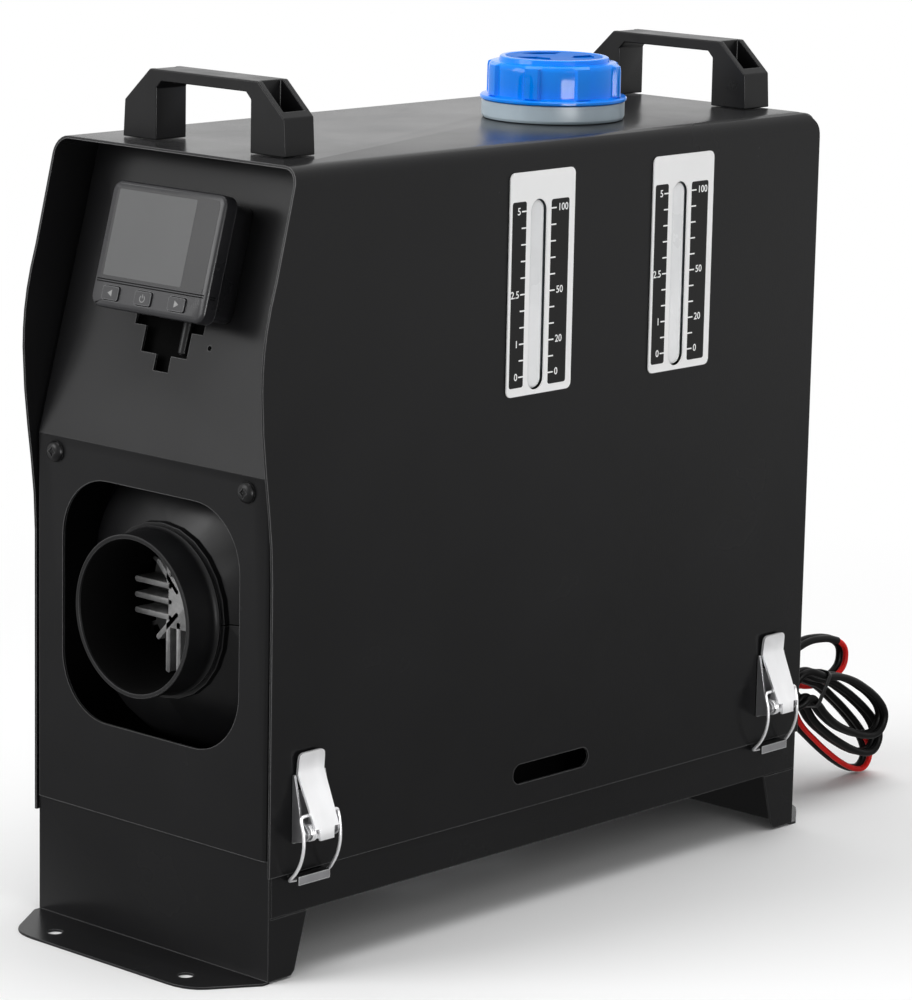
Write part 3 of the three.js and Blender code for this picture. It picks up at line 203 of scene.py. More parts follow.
def feed(tree, node, inputs):
    """Set a node's inputs to values, or link them to the outputs given for them."""
    for key, given in inputs.items():
        if isinstance(given, bpy.types.NodeSocket):
            tree.links.new(given, node.inputs[key])
        else:
            node.inputs[key].default_value = given


def add(tree, kind, inputs=None, **choices):
    """A new shader node with its choices made and its inputs fed."""
    made = tree.nodes.new(f"ShaderNode{kind}")
    for key, choice in choices.items():
        setattr(made, key, choice)
    feed(tree, made, inputs or {})
    return made


def tinted(colour, factor, lift=0.0):
    return (*[min(c * factor + lift, 1) for c in colour], 1)


def finish(name, colour, roughness, specular, mottle, grain, shade=1.0, metallic=0.0, coat=0.0,
           spread=0.06, stretch=(1, 1, 1), milky=0.0, wear=0.0):
    """A surface with mottled colour and roughness, a fine raised grain and paler edges: partly
    rubbed surface, partly a painted highlight.
    """
    # a shade below 1 darkens the colour: painted shade
    colour = [c * shade for c in colour]
    material = bpy.data.materials.new(name)
    material.use_nodes = True
    tree = material.node_tree
    place = add(tree, "TexCoord")
    scaled = add(tree, "Mapping", {"Scale": stretch, "Vector": place.outputs["Object"]})

    def noise(scale, detail):
        return add(tree, "TexNoise", {
            "Scale": scale, "Detail": detail, "Vector": scaled.outputs["Vector"],
        }).outputs["Fac"]

    def ranged(source, low, high, start=0.3, end=0.7):
        return add(tree, "MapRange", {
            "From Min": start, "From Max": end, "To Min": low, "To Max": high, "Value": source,
        }).outputs["Result"]

    def mixed(share, first, second):
        return add(tree, "Mix", {
            "Factor": share, "A": first, "B": second,
        }, data_type="RGBA").outputs["Result"]

    patches = noise(mottle[0], 4)
    surface = mixed(ranged(patches, 0, 1), tinted(colour, 1 - mottle[1]),
                    tinted(colour, 1 + mottle[1]))
    # paler edges, partly rubbed surface and partly a painted highlight along every edge
    if wear:
        geometry = add(tree, "NewGeometry")
        edge = add(tree, "Bevel", {"Radius": WEAR_AND_GLINT_WIDTH}, samples=4)
        turn = add(tree, "VectorMath", {
            0: edge.outputs["Normal"], 1: geometry.outputs["Normal"],
        }, operation="DOT_PRODUCT")
        worn_and_glinting = ranged(turn.outputs["Value"], wear, 0, 0.8, 0.98)
        surface = mixed(worn_and_glinting, surface, tinted(colour, 3, 0.13))
    bump = add(tree, "Bump", {
        "Strength": grain[1], "Distance": GRAIN_DEPTH, "Height": noise(grain[0], 2),
    })
    shader = tree.nodes["Principled BSDF"]
    feed(tree, shader, {
        "Base Color": surface, "Roughness": ranged(patches, roughness - spread, roughness + spread),
        "Normal": bump.outputs["Normal"], "Metallic": metallic, "Specular IOR Level": specular,
        "Coat Weight": coat, "Coat Roughness": COAT_ROUGHNESS,
    })
    if milky:
        feed(tree, shader, {
            "Subsurface Weight": milky, "Subsurface Radius": (1, 1, 1),
            "Subsurface Scale": MILKY_DEPTH,
        })
    return material


def look(name):
    """The finish of that name, made when it is first asked for."""
    if name not in made_finishes:
        colour, *numbers, rest = FINISHES[name]
        if isinstance(colour, str):
            colour = getattr(settings(), colour)
        made_finishes[name] = finish(name, colour, *numbers, **rest)
    return made_finishes[name]


# ---- building


def body_at(node):
    return body_of(frame["nodes"][node])[0]


def linked(name, data):
    """A new object in the scene."""
    made = bpy.data.objects.new(name, data)
    bpy.context.scene.collection.objects.link(made)
    return made


def new_object(name, mesh, material, body, angle=35):
    """A piece of a body, its faces smooth across edges that turn less than the angle."""
    mesh.materials.clear()
    mesh.materials.append(material)
    mesh.polygons.foreach_set("use_smooth", [True] * len(mesh.polygons))
    mesh.set_sharp_from_angle(angle=radians(angle))
    piece = linked(name, mesh)
    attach(piece, body)
    return piece


def mesh_of(piece):
    """The surface that a piece shows, as a mesh of its own."""
    graph = bpy.context.evaluated_depsgraph_get()
    return bpy.data.meshes.new_from_object(piece.evaluated_get(graph))


def from_points(name, points, faces, material, body="case", angle=35, turn=None):
    """A piece from points in millimetres, moved by turn if one is given."""
    mesh = bpy.data.meshes.new(name)
    mesh.from_pydata([Vector(p) * MM for p in points], [], faces)
    if turn:
        mesh.transform(turn)
    made = bmesh.new()
    made.from_mesh(mesh)
    bmesh.ops.remove_doubles(made, verts=made.verts, dist=1e-7)
    bmesh.ops.recalc_face_normals(made, faces=made.faces)
    made.to_mesh(mesh)
    made.free()
    return new_object(name, mesh, material, body, angle)


def rounded_edges(piece, width, steps=2, angle=40):
    bevel = piece.modifiers.new("edge", "BEVEL")
    bevel.width = width * MM
    bevel.segments = steps
    bevel.limit_method = "ANGLE"
    bevel.angle_limit = radians(angle)
    bevel.harden_normals = True
    return piece


def dressed(node, material, width, steps=2, angle=40):
    """The frame's own solid with its flat faces joined and its edges rounded."""
    mesh = frame["nodes"][node].data.copy()
    mesh.name = f"{node}_shape"
    made = bmesh.new()
    made.from_mesh(mesh)
    bmesh.ops.remove_doubles(made, verts=made.verts, dist=1e-6)
    bmesh.ops.dissolve_limit(
        made, angle_limit=radians(0.05), verts=made.verts, edges=made.edges
    )
    made.to_mesh(mesh)
    made.free()
    piece = new_object(f"{node}_piece", mesh, material, body_at(node), angle)
    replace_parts(piece, node)
    return rounded_edges(piece, width, steps, angle)


def coated(node, material):
    """Give the frame's own solid a finish and leave its shape as it is."""
    made = frame["nodes"][node]
    made.data.materials.clear()
    made.data.materials.append(material)


def turned(name, profile, material, body, centre=(0, 0, 0), along="z", steps=96, angle=35,
           swell=None):
    """A profile of (radius, height) turned about an axis.

    swell(angle, radius, height) gives what is added to a radius there.
    """
    points, faces = [], []
    for step in range(steps):
        around = 2 * pi * step / steps
        for radius, height in profile:
            reach = radius + (swell(around, radius, height) if swell and radius else 0)
            points.append((reach * cos(around), reach * sin(around), height))
    count = len(profile)
    for step in range(steps):
        here, there = step * count, ((step + 1) % steps) * count
        for i in range(count - 1):
            faces.append((here + i, there + i, there + i + 1, here + i + 1))
    move = Matrix.Translation(Vector(centre) * MM)
    if along == "y":
        move = move @ Matrix.Rotation(radians(-90), 4, "X")
    return from_points(name, points, faces, material, body, angle, move)


def round_rect(x, y, width, height, radius, steps=6):
    """The outline of a rectangle with round corners, from its lower right one."""
    points = []
    for i, (sx, sy) in enumerate([(1, -1), (1, 1), (-1, 1), (-1, -1)]):
        cx, cy = x + sx * (width / 2 - radius), y + sy * (height / 2 - radius)
        for k in range(steps + 1):
            around = radians(-90 + 90 * i + 90 * k / steps)
            points.append((cx + radius * cos(around), cy + radius * sin(around)))
    return points


def slab(name, outline, low, high, material, body="case", turn=None, round_by=0.0):
    """An outline in (x, y) made into a slab from low to high."""
    count = len(outline)
    points = [(x, y, z) for z in (low, high) for x, y in outline]
    faces = [tuple(reversed(range(count))), tuple(range(count, 2 * count))]
    faces += [(i, (i + 1) % count, count + (i + 1) % count, count + i) for i in range(count)]
    piece = from_points(name, points, faces, material, body, turn=turn)
    return rounded_edges(piece, round_by, 2, 50) if round_by else piece


def pierced(name, outline, holes, low, high, material, body="case", turn=None):
    """A slab from low to high with holes through it."""
    made = bmesh.new()
    for ring in (outline, *holes):
        corners = [made.verts.new(Vector((x, y, low)) * MM) for x, y in ring]
        for a, b in zip(corners, corners[1:] + corners[:1]):
            made.edges.new((a, b))
    bmesh.ops.triangle_fill(made, use_beauty=True, edges=made.edges[:])
    raised = bmesh.ops.extrude_face_region(made, geom=made.faces[:], use_keep_orig=True)["geom"]
    bmesh.ops.translate(made, verts=[v for v in raised if isinstance(v, bmesh.types.BMVert)],
                        vec=(0, 0, (high - low) * MM))
    bmesh.ops.dissolve_limit(made, angle_limit=0.001, verts=[], edges=made.edges)
    bmesh.ops.recalc_face_normals(made, faces=made.faces)
    if turn:
        made.transform(turn)
    mesh = bpy.data.meshes.new(name)
    made.to_mesh(mesh)
    made.free()
    return new_object(name, mesh, material, body)


def joined(name, pieces, body="case"):
    """Several pieces of one material and body as one, their modifiers applied."""
    whole = bmesh.new()
    for piece in pieces:
        mesh = mesh_of(piece)
        mesh.transform(piece.matrix_world)
        whole.from_mesh(mesh)
        bpy.data.meshes.remove(mesh)
    mesh = bpy.data.meshes.new(name)
    whole.to_mesh(mesh)
    whole.free()
    material = pieces[0].data.materials[0]
    for piece in pieces:
        bpy.data.objects.remove(piece)
    return new_object(name, mesh, material, body)


def smooth_line(name, route, radius, material):
    """A round line through points in metres."""
    line = bpy.data.curves.new(f"{name}_line", "CURVE")
    line.dimensions = "3D"
    line.resolution_u = 6
    spline = line.splines.new("BEZIER")
    spline.bezier_points.add(len(route) - 1)
    for point, at in zip(spline.bezier_points, route):
        point.co = at
        point.handle_left_type = point.handle_right_type = "AUTO"
    line.bevel_depth = radius * MM
    line.bevel_resolution = 5
    line.use_fill_caps = True
    line.materials.append(material)
    return linked(name, line)


def as_mesh(piece, body):
    """A line's surface as a mesh piece of the same name."""
    name, material = piece.name, piece.data.materials[0]
    mesh = mesh_of(piece)
    bpy.data.objects.remove(piece)
    return new_object(name, mesh, material, body, 60)


# ---- leads

LEAD_EXIT, LEAD_SPREAD = (34, 182.9, 70), 2.4
HANK_START = (28, 211, 64)
HANK_PITCH = 7.8
HANK_HALF = 12
WAIST_AT, WAIST_SHARE, WAIST_SPREAD = 14, 0.34, 12
HANK_LOOPS = [(2, 63), (38, 95), (33, 86), (27, 74)]  # fall in degrees, reach
HANK_STEPS = 24
HANK_COUNT = HANK_STEPS * len(HANK_LOOPS) - 2
TURN_OVER = 0.16  # share of a turn before and after which a loop has its own fall and reach
FULLNESS = 0.8  # 1 gives an ellipse, less a fuller loop
TAIL = [(-2, -4, -3), (-6.5, -9, -6), (-9, -13, -8)]  # from the last loop to the bare end
TIE_FALL, TIE_PLAY, TIE_WALL, TIE_WIDTH, TIE_EDGE = 33, 2.1, 0.9, 2.5, 0.25
# the stretches of the red lead, in turns, that lie under a black sleeve
RED_SLEEVES = [(-0.15, 0.36), (0.98, 1.36), (2, 4.04)]
STRANDS = [(0, -1), (0.9, -1), (0.95, 3.4), (0.6, 4), (0, 4)]
GROMMET = [(0, -5), (9.5, -5), (9.5, -1.8), (8, -1.5), (8, 0.3), (10.3, 0.3), (10.5, 0.9),
           (9.9, 2.3), (9.2, 2.8), (0, 2.8)]
REAR_FACE = 179.8


def smoothstep(share):
    return share * share * (3 - 2 * share)


def hank_point(turns, aside):
    """A lead's place after so many turns: long loops that fan out behind the case."""
    last = len(HANK_LOOPS) - 1
    here = min(int(turns + 0.5), last)
    before = max(here - 1, 0)
    share = smoothstep(min(max((turns - here + TURN_OVER) / (2 * TURN_OVER), 0), 1))
    fall, reach = (a + (b - a) * share for a, b in zip(HANK_LOOPS[before], HANK_LOOPS[here]))
    around = pi - 2 * pi * turns

    def rounded(value):
        return copysign(abs(value) ** FULLNESS, value)

    along = reach / 2 * (1 + rounded(cos(around)))
    waist = 1 - WAIST_SHARE * exp(-(((along - WAIST_AT) / WAIST_SPREAD) ** 2))
    across = HANK_HALF * rounded(sin(around)) * waist
    fall = radians(fall)
    x, y, z = HANK_START
    return Vector((
        x + aside + HANK_PITCH * (here - 1 + share),
        y + along * cos(fall) + across * sin(fall),
        z - along * sin(fall) + across * cos(fall),
    ))


def lead_route(exit_x, aside):
    """A lead's way in metres: out of the grommet, into the first loop, round all, and its tail."""
    hank = [hank_point(i / HANK_STEPS, aside) for i in range(HANK_COUNT)]
    start = hank[0]
    heading = (hank[1] - start).normalized()
    _, y, z = LEAD_EXIT
    way = [Vector((exit_x, y, z)), Vector((exit_x, y + 5, z)),
           Vector(((exit_x + start.x) / 2, start.y - 13, start.z - 5)),
           Vector((start.x, start.y - 5, start.z - 12)), start - heading * 5]
    tail = [hank[-1] + Vector(step) for step in TAIL]
    return [p * MM for p in way + hank + tail]


def strand_swell(around, radius, height):
    """Seven twisted strands."""
    return 0.12 * cos(7 * around + height)


def lead(colour, width, exit_x, aside, sleeves, tied):
    route = lead_route(exit_x, aside)
    piece = smooth_line(f"power_lead_{colour}", route, width / 2, look(f"{colour}_lead_plastic"))
    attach(piece, "case")
    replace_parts(piece, f"hank_{colour}", f"lead_{colour}")
    end = route[-1]
    heading = (end - route[-2]).normalized().to_track_quat("Z", "Y")
    strands = turned(f"lead_end_{colour}", STRANDS, look("bare_copper_strands"), "case",
                     steps=14, swell=strand_swell)
    strands.data.transform(Matrix.Translation(end) @ heading.to_matrix().to_4x4())
    hank_at = len(route) - len(TAIL) - HANK_COUNT
    for i, stretch in enumerate(sleeves):
        first, last = (hank_at + round(turn * HANK_STEPS) for turn in stretch)
        covered = route[max(first, 1):last + 1]
        sleeve = smooth_line(f"lead_sleeve_{i}", covered, sizes().sleeve / 2,
                             look("black_lead_plastic"))
        as_mesh(sleeve, "case")


def strands_at(routes, middle, along, across):
    """Where the fanned loops cross the tie's plane: (x, across) in millimetres from its middle."""
    met = []
    fan_at = -len(TAIL) - HANK_COUNT + HANK_STEPS + 2
    for route in routes:
        fanned = route[fan_at:-len(TAIL)]
        for a, b in zip(fanned, fanned[1:]):
            da, db = (a - middle).dot(along), (b - middle).dot(along)
            if da * db <= 0 and da != db:
                p = a + (b - a) * (da / (da - db)) - middle
                met.append((p.x / MM, p.dot(across) / MM))
    return met


def hank_tie(routes):
    """A cable tie drawn tight round the strands of the fanned loops near their upper end."""
    fall = radians(TIE_FALL)
    along = Vector((0, cos(fall), -sin(fall)))
    across = Vector((0, sin(fall), cos(fall)))
    middle = (Vector(HANK_START) + along * WAIST_AT) * MM
    spread = [(x + TIE_PLAY * cos(k * pi / 8), z + TIE_PLAY * sin(k * pi / 8))
              for x, z in strands_at(routes, middle, along, across) for k in range(16)]
    outline = [spread[i] for i in convex_hull_2d(spread)]
    points, faces = [], []
    count = len(outline)
    cx, cz = (sum(p[i] for p in outline) / count for i in (0, 1))
    for x, z in outline:
        out = Vector((x - cx, z - cz)).normalized() * TIE_WALL
        for grow, shift in ((0, -1), (1, -1), (1, 1), (0, 1)):
            points.append(middle / MM + Vector((x + out.x * grow, 0, 0))
                          + across * (z + out.y * grow) + along * (shift * TIE_WIDTH / 2))
    for i in range(count):
        here, there = 4 * i, 4 * ((i + 1) % count)
        faces += [(here + k, there + k, there + (k + 1) % 4, here + (k + 1) % 4)
                  for k in range(4)]
    band = from_points("hank_tie_piece", points, faces, look("grained_black_plastic"))
    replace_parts(band, "hank_tie")
    return rounded_edges(band, TIE_EDGE)


class HEATER_OT_leads(Operator):
    """Make the two power leads in their hank, with the tie and the grommet"""

    bl_idname = "heater.leads"
    bl_label = "Power Leads"

    def execute(self, context):
        x, _, z = LEAD_EXIT
        exits = {"black": (x - LEAD_SPREAD, 0), "red": (x + LEAD_SPREAD, HANK_PITCH / 2)}
        tie = hank_tie([lead_route(*way) for way in exits.values()])
        lead("black", sizes().black_lead, *exits["black"], [], [tie])
        lead("red", sizes().red_lead, *exits["red"], RED_SLEEVES, [])
        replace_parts(turned("lead_grommet", GROMMET, look("black_rubber"), "case",
                           (x, REAR_FACE, z), "y", 48), "cable_grommet")
        return {"FINISHED"}


# ---- case

SCREW = [(0, 0.9), (1.1, 0.9), (1.5, 0), (2.6, 0.05), (3.6, 0.5), (4.3, 1.2), (4.75, 2.1),
         (4.75, 2.6), (2.5, 2.6), (2.5, 9), (0, 9)]
SCREW_AT = (60, -182.5, 213)
CROSS_REACH = 0.9


class HEATER_OT_case(Operator):
    """Dress the folded cover, the end panels, the base tray and the feet in black powder coat"""

    bl_idname = "heater.case"
    bl_label = "Case"

    def execute(self, context):
        for node in ("cover_shell", "front_panel", "rear_panel", "base_tray", "front_foot",
                     "rear_foot"):
            dressed(node, look("satin_powder_coat"), sizes().sheet_edge)
        return {"FINISHED"}


def cross_slot(around, radius, height):
    """Four arms drawn out of the round hole in a screw's head."""
    in_hole = height < 0.95 and radius < 2
    return CROSS_REACH * max(0, cos(4 * around)) ** 3 if in_hole else 0


class HEATER_OT_panel_screws(Operator):
    """Make the two cross-head screws of the front panel"""

    bl_idname = "heater.panel_screws"
    bl_label = "Panel Screws"

    def execute(self, context):
        x, y, z = SCREW_AT
        for side, sign in SIDES.items():
            screw = turned(f"panel_screw_{side}_piece", SCREW, look("grained_black_plastic"),
                           "case", (sign * x, y, z), "y", 64, 30, cross_slot)
            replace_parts(screw, f"panel_screw_{side}")
        return {"FINISHED"}


class HEATER_OT_handles(Operator):
    """Dress the two moulded carrying handles"""

    bl_idname = "heater.handles"
    bl_label = "Handles"

    def execute(self, context):
        for end in ENDS:
            dressed(f"{end}_handle", look("grained_black_plastic"), sizes().plastic_edge, 3)
        return {"FINISHED"}


# ---- level plates

PLATE_CORNER = 2.9
PLATE_THICK = 0.6
SIGHT_SHIFT, SIGHT_MIDDLE = -2.4, PLATE_BOTTOM + 44.4  # the gauge slots, from their plates
SIGHT = (10.7, 85, 5.34, 12)  # width, height, corner and its steps
# each dark strip: its middle from the plate's left, its width, its distance from top and bottom
INK_STRIPS = [(6.05, 9.1, 12.9, 3.9), (32.9, 11.8, 13.3, 3.4)]
INK_CORNER = 1.2
MARK_COUNT = 11
MARK_WIDTH = 3.4
MARKS_END = (17.2, 8.6)  # from the plate's top and bottom
MARK_COLUMNS = (9.2, 28.6)  # from the plate's left
# each column of figures: its place, the side it keeps to and its figures by mark
FIGURE_COLUMNS = [(6.9, "RIGHT", {0: "5", 5: "2.5", 8: "1", 10: "0"}),
                  (31.2, "LEFT", {0: "100", 5: "50", 8: "20", 10: "0"})]
FIGURE_SIZE = 1.35  # a letter's size for a figure of height 1
INK_LIES = (-0.02, 0.06)  # from and to, over the plate's face
MARK_LIES = (0, 0.14)
FIGURE_LIES = 0.11


def figures(name, text, x, y, align):
    """Scale figures as a thin raised mesh on the right side."""
    words = bpy.data.curves.new(name, "FONT")
    words.body = text
    words.size = sizes().figure * MM * FIGURE_SIZE
    words.extrude = 0.00003
    words.align_x = align
    words.align_y = "CENTER"
    words.offset = 0.00005
    words.resolution_u = 3
    made = linked(name, words)
    mesh = mesh_of(made)
    bpy.data.objects.remove(made)
    place = Vector((x, y, PLATE_FACE + FIGURE_LIES)) * MM
    mesh.transform(RIGHT_SIDE @ Matrix.Translation(place))
    return new_object(name, mesh, look("white_scale_plate"), "case")


def level_scale(end, y):
    """The printed scale of one plate: two dark strips, their marks and their figures."""
    left, top = y - PLATE_WIDTH / 2, PLATE_BOTTOM + PLATE_HEIGHT

    def printed(name, outline, lies, material):
        return slab(name, outline, *(PLATE_FACE + x for x in lies), material, turn=RIGHT_SIDE)

    ink = []
    for i, (x, width, below, above) in enumerate(INK_STRIPS):
        high, low = top - below, PLATE_BOTTOM + above
        strip = round_rect(left + x, (high + low) / 2, width, high - low, INK_CORNER)
        ink.append(printed(f"scale_ink_{end}_{i}", strip, INK_LIES, look("scale_black_ink")))
    joined(f"scale_ink_{end}", ink)
    marks = []
    high, low = top - MARKS_END[0], PLATE_BOTTOM + MARKS_END[1]
    for i in range(MARK_COUNT):
        z = high + (low - high) * i / (MARK_COUNT - 1)
        for k, x in enumerate(MARK_COLUMNS):
            mark = round_rect(left + x, z, MARK_WIDTH, sizes().tick, 0.2, 2)
            marks.append(printed(f"mark_{end}_{i}_{k}", mark, MARK_LIES, look("white_scale_plate")))
        for k, (x, align, words) in enumerate(FIGURE_COLUMNS):
            if i in words:
                marks.append(figures(f"figure_{end}_{i}_{k}", words[i], left + x, z, align))
    joined(f"scale_marks_{end}", marks)


class HEATER_OT_level_plates(Operator):
    """Make the two white level plates with their printed scales"""

    bl_idname = "heater.level_plates"
    bl_label = "Level Plates"

    def execute(self, context):
        for end, y in PLATE_YS.items():
            sight = round_rect(y + SIGHT_SHIFT, SIGHT_MIDDLE, *SIGHT)
            outline = round_rect(y, PLATE_BOTTOM + PLATE_HEIGHT / 2, PLATE_WIDTH, PLATE_HEIGHT,
                                 PLATE_CORNER)
            plate = pierced(f"level_plate_{end}_piece", outline, [sight], PLATE_FACE - PLATE_THICK,
                            PLATE_FACE, look("white_scale_plate"), turn=RIGHT_SIDE)
            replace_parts(plate, f"level_plate_{end}")
            level_scale(end, y)
        return {"FINISHED"}


# ---- tank and cap

SIGHT_RIB = (10.1, 84.4, 4.9, 10)  # width, height, corner and its steps
SIGHT_RIB_FROM, SIGHT_RIB_EDGE = 69.6, 1.6
CAP_SEAT = CASE_TOP + 8.6
CAP_BODY = [
    (27.6, 0), (33.3, 0), (33.8, 0.5), (33.8, 1.4), (33.3, 2), (31, 2.25), (30.1, 2.6), (30, 4),
    (30, 9), (29.95, 14.6), (29.6, 16.3), (28.6, 17.3), (26.4, 17.4), (25.6, 17.6), (25.3, 18.6),
    (25, 19.5), (24.4, 19.8), (22.8, 19.8), (22.3, 19.5), (21.9, 18.7), (0, 18.7),
]
CAP_INSIDE = [(27.6, 0), (27.6, 14.1), (0, 14.1)]
FLUTE_RISE = 1.6
FLUTE_HALF, FLUTE_SHOULDER, FLUTE_TURN = 7.5, 2, 45  # degrees
CROWN_RADIUS, CROWN_STEPS = 22.6, 64
CROWN_WEB = (CAP_SEAT + 18.5, CAP_SEAT + 19.6)
CROWN_FLOOR = (CAP_SEAT + 18.6, CAP_SEAT + 18.8)
POCKET_HEADINGS = (35, 155, 275)
# each side of a pocket: its radius, its half angle and its corners as shares of that
POCKET_SIDES = ((18.5, 33, (-1, -0.5, 0, 0.5, 1)), (9, 24, (1, 0, -1)))
SEAL = [(22, 0), (27, 0), (27, 2), (22, 2), (22, 0)]
SEAL_SEAT = CASE_TOP + 21.3


class HEATER_OT_fuel_tank(Operator):
    """Dress the milky fuel tank and make the ribs that stand in the gauge slots"""

    bl_idname = "heater.fuel_tank"
    bl_label = "Fuel Tank"

    def execute(self, context):
        dressed("fuel_tank", look("milky_tank_plastic"), 0.5)
        for end, y in PLATE_YS.items():
            rib = round_rect(y + SIGHT_SHIFT, SIGHT_MIDDLE, *SIGHT_RIB)
            slab(f"tank_sight_rib_{end}", rib, SIGHT_RIB_FROM, CASE_SIDE,
                 look("milky_sight_plastic"), turn=RIGHT_SIDE, round_by=SIGHT_RIB_EDGE)
        return {"FINISHED"}


def cap_flutes(around, radius, height):
    """Eight raised ribs round the cap's body, with soft shoulders."""
    if not 29.5 < radius < 31.7 or height < 2.3:  # only the body's wall
        return 0
    turn = (degrees(around) - FLUTE_TURN / 2) % FLUTE_TURN
    off = min(turn, FLUTE_TURN - turn)
    return FLUTE_RISE * smoothstep(min(max((FLUTE_HALF - off) / FLUTE_SHOULDER, 0), 1))


def on_cap(radius, heading):
    """A point (x, y) about the neck's middle."""
    around = radians(heading)
    return NECK[0] + radius * cos(around), NECK[1] + radius * sin(around)


def crown_pocket(heading):
    """A shallow pocket of the cap's crown: a part of a ring, its corners left sharp."""
    return [on_cap(radius, heading + share * half)
            for radius, half, shares in POCKET_SIDES for share in shares]


class HEATER_OT_filler_cap(Operator):
    """Make the ribbed blue filler cap with its crown and its seal"""

    bl_idname = "heater.filler_cap"
    bl_label = "Filler Cap"

    def execute(self, context):
        blue, shaded_blue = look("blue_cap_plastic"), look("blue_crown_plastic")
        seat = (*NECK, CAP_SEAT)
        body = turned("filler_cap_body", CAP_BODY, blue, "cap", seat,
                      steps=sizes().cap_segments, angle=50, swell=cap_flutes)
        inner = turned("filler_cap_inside", CAP_INSIDE, blue, "cap", seat, angle=50)
        # the crown in the cap's blue, darkened: painted shade
        disc = [on_cap(CROWN_RADIUS, 360 * i / CROWN_STEPS) for i in range(CROWN_STEPS)]
        web = pierced("crown_web", disc, [crown_pocket(heading) for heading in POCKET_HEADINGS],
                      *CROWN_WEB, shaded_blue, "cap")
        floor = slab("crown_floor", disc, *CROWN_FLOOR, shaded_blue, "cap")
        joined("cap_crown", [web, floor], "cap")
        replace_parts(joined("filler_cap_piece", [body, inner], "cap"), "filler_cap")
        seal_seat = (*NECK, SEAL_SEAT)
        seal = turned("cap_seal_piece", SEAL, look("black_rubber"), "cap_ring", seal_seat)
        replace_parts(seal, "cap_seal")
        return {"FINISHED"}


# ---- controller

# x, distance up the slope, width, height and corner of what lies in the controller's front
FACE = 19.9  # how far the controller's front stands off the panel
HOUSING = (0, 85.85, 70, 55.1, 5)
HOUSING_BACK = (0, 85.85, 65, 50.1, 4)
SCREEN_HOLE = (0.5, 90.8, 60, 38.4, 0.3)
WINDOW = (0.2, 90.85, 63.4, 39.7, 2.6)
DISPLAY = (-5.9, 90.8, 48.2, 37.6, 0.8)
FRONT_DEEP = 7
RIM_RADIUS, RIM_SIDE, RIM_TOP, RIM_FOOT = 1.6, 32, 111.5, 60
SEAM_UPS, SEAM_HALF = (70.2, 69.2), 0.22
SEAM = (0, FACE - FRONT_DEEP / 2, 70.08, 7.08, 2.2)
BUTTONS = {"left": -22.5, "power": -2.3, "right": 18.5}
BUTTON_UP = 64.6
BUTTON_WELL = (10.6, 6.6, 1.1)
BUTTON_PRINT = (20.75, 20.86)
ARROW = [(-1.5, 0), (1.1, 1.5), (1.1, -1.5)]
POWER_UP = 64.4
POWER_RING = {"radii": (1.25, 1.65), "from": 125, "sweep": 290, "steps": 18}
POWER_BAR = ((-0.2, 0.3), (0.2, 0.3), (0.2, 1.9), (-0.2, 1.9))
# a near-black open box behind the panel's cut-out below the controller: painted shade in the
# opening
CUTOUT_SHADE_BOX = {"floor": (-4, 57, 52, 50, 3), "left": (-29.4, 57, 1.2, 50, 0.3, 2),
         "right": (21.4, 57, 1.2, 50, 0.3, 2), "foot": (-4, 32.6, 52, 1.2, 0.3, 2)}
SHADE_BOX_FLOOR_LIES, SHADE_BOX_WALL_LIES = (-5.4, -4.6), (-5, -1.25)
PLUG = [(0, 44.5), (1.5, 44.6), (2.2, 45.4), (2.3, 46.5), (2.3, 60), (0, 60)]
PLUG_AT = (5, 0, -2.2)


def front_rounded(piece, width):
    """Round the outer edges of a housing's front."""
    bevel = rounded_edges(piece, width, 4).modifiers["edge"]
    bevel.limit_method = "WEIGHT"
    bevel.use_clamp_overlap = False
    made = bmesh.new()
    made.from_mesh(piece.data)
    weights = made.edges.layers.float.new("bevel_weight_edge")
    to_slope = SLOPE.inverted()
    for edge in made.edges:
        a, b = (to_slope @ corner.co / MM for corner in edge.verts)
        outside = (max(abs(a.x), abs(b.x)) > RIM_SIDE or max(a.y, b.y) > RIM_TOP
                   or min(a.y, b.y) < RIM_FOOT)
        if outside and min(a.z, b.z) > FACE - 0.05 and edge.calc_face_angle(0) > radians(50):
            edge[weights] = 1
    made.to_mesh(piece.data)
    made.free()
    return piece


def power_symbol():
    """A broken ring and a bar, printed on the power button."""
    outline = []
    steps = POWER_RING["steps"]
    for i in range(steps + 1):
        around = radians(POWER_RING["from"] + POWER_RING["sweep"] * i / steps)
        outline += [(r * cos(around), r * sin(around)) for r in POWER_RING["radii"]]
    faces = [(i, i + 1, i + 3, i + 2) for i in range(0, 2 * steps, 2)]
    faces.append(tuple(range(len(outline), len(outline) + 4)))
    points = [(BUTTONS["power"] + x, POWER_UP + up, BUTTON_PRINT[1])
              for x, up in (*outline, *POWER_BAR)]
    from_points("power_symbol", points, faces, look("printed_grey"), "button_power", turn=SLOPE)


def housing():
    """The controller's two shells: a front with its screen hole and button wells, and a back."""
    grey = look("controller_plastic")
    wells = [round_rect(x, BUTTON_UP, *BUTTON_WELL, 3) for x in BUTTONS.values()]
    front = pierced("housing_front", round_rect(*HOUSING, 8), [round_rect(*SCREEN_HOLE, 2), *wells],
                    FACE - FRONT_DEEP, FACE, grey, turn=SLOPE)
    back = slab("housing_back", round_rect(*HOUSING_BACK), 0.3, FACE - FRONT_DEEP + 0.2, grey,
                turn=SLOPE, round_by=0.4)
    return joined("controller_housing_piece", [front_rounded(front, RIM_RADIUS), back])


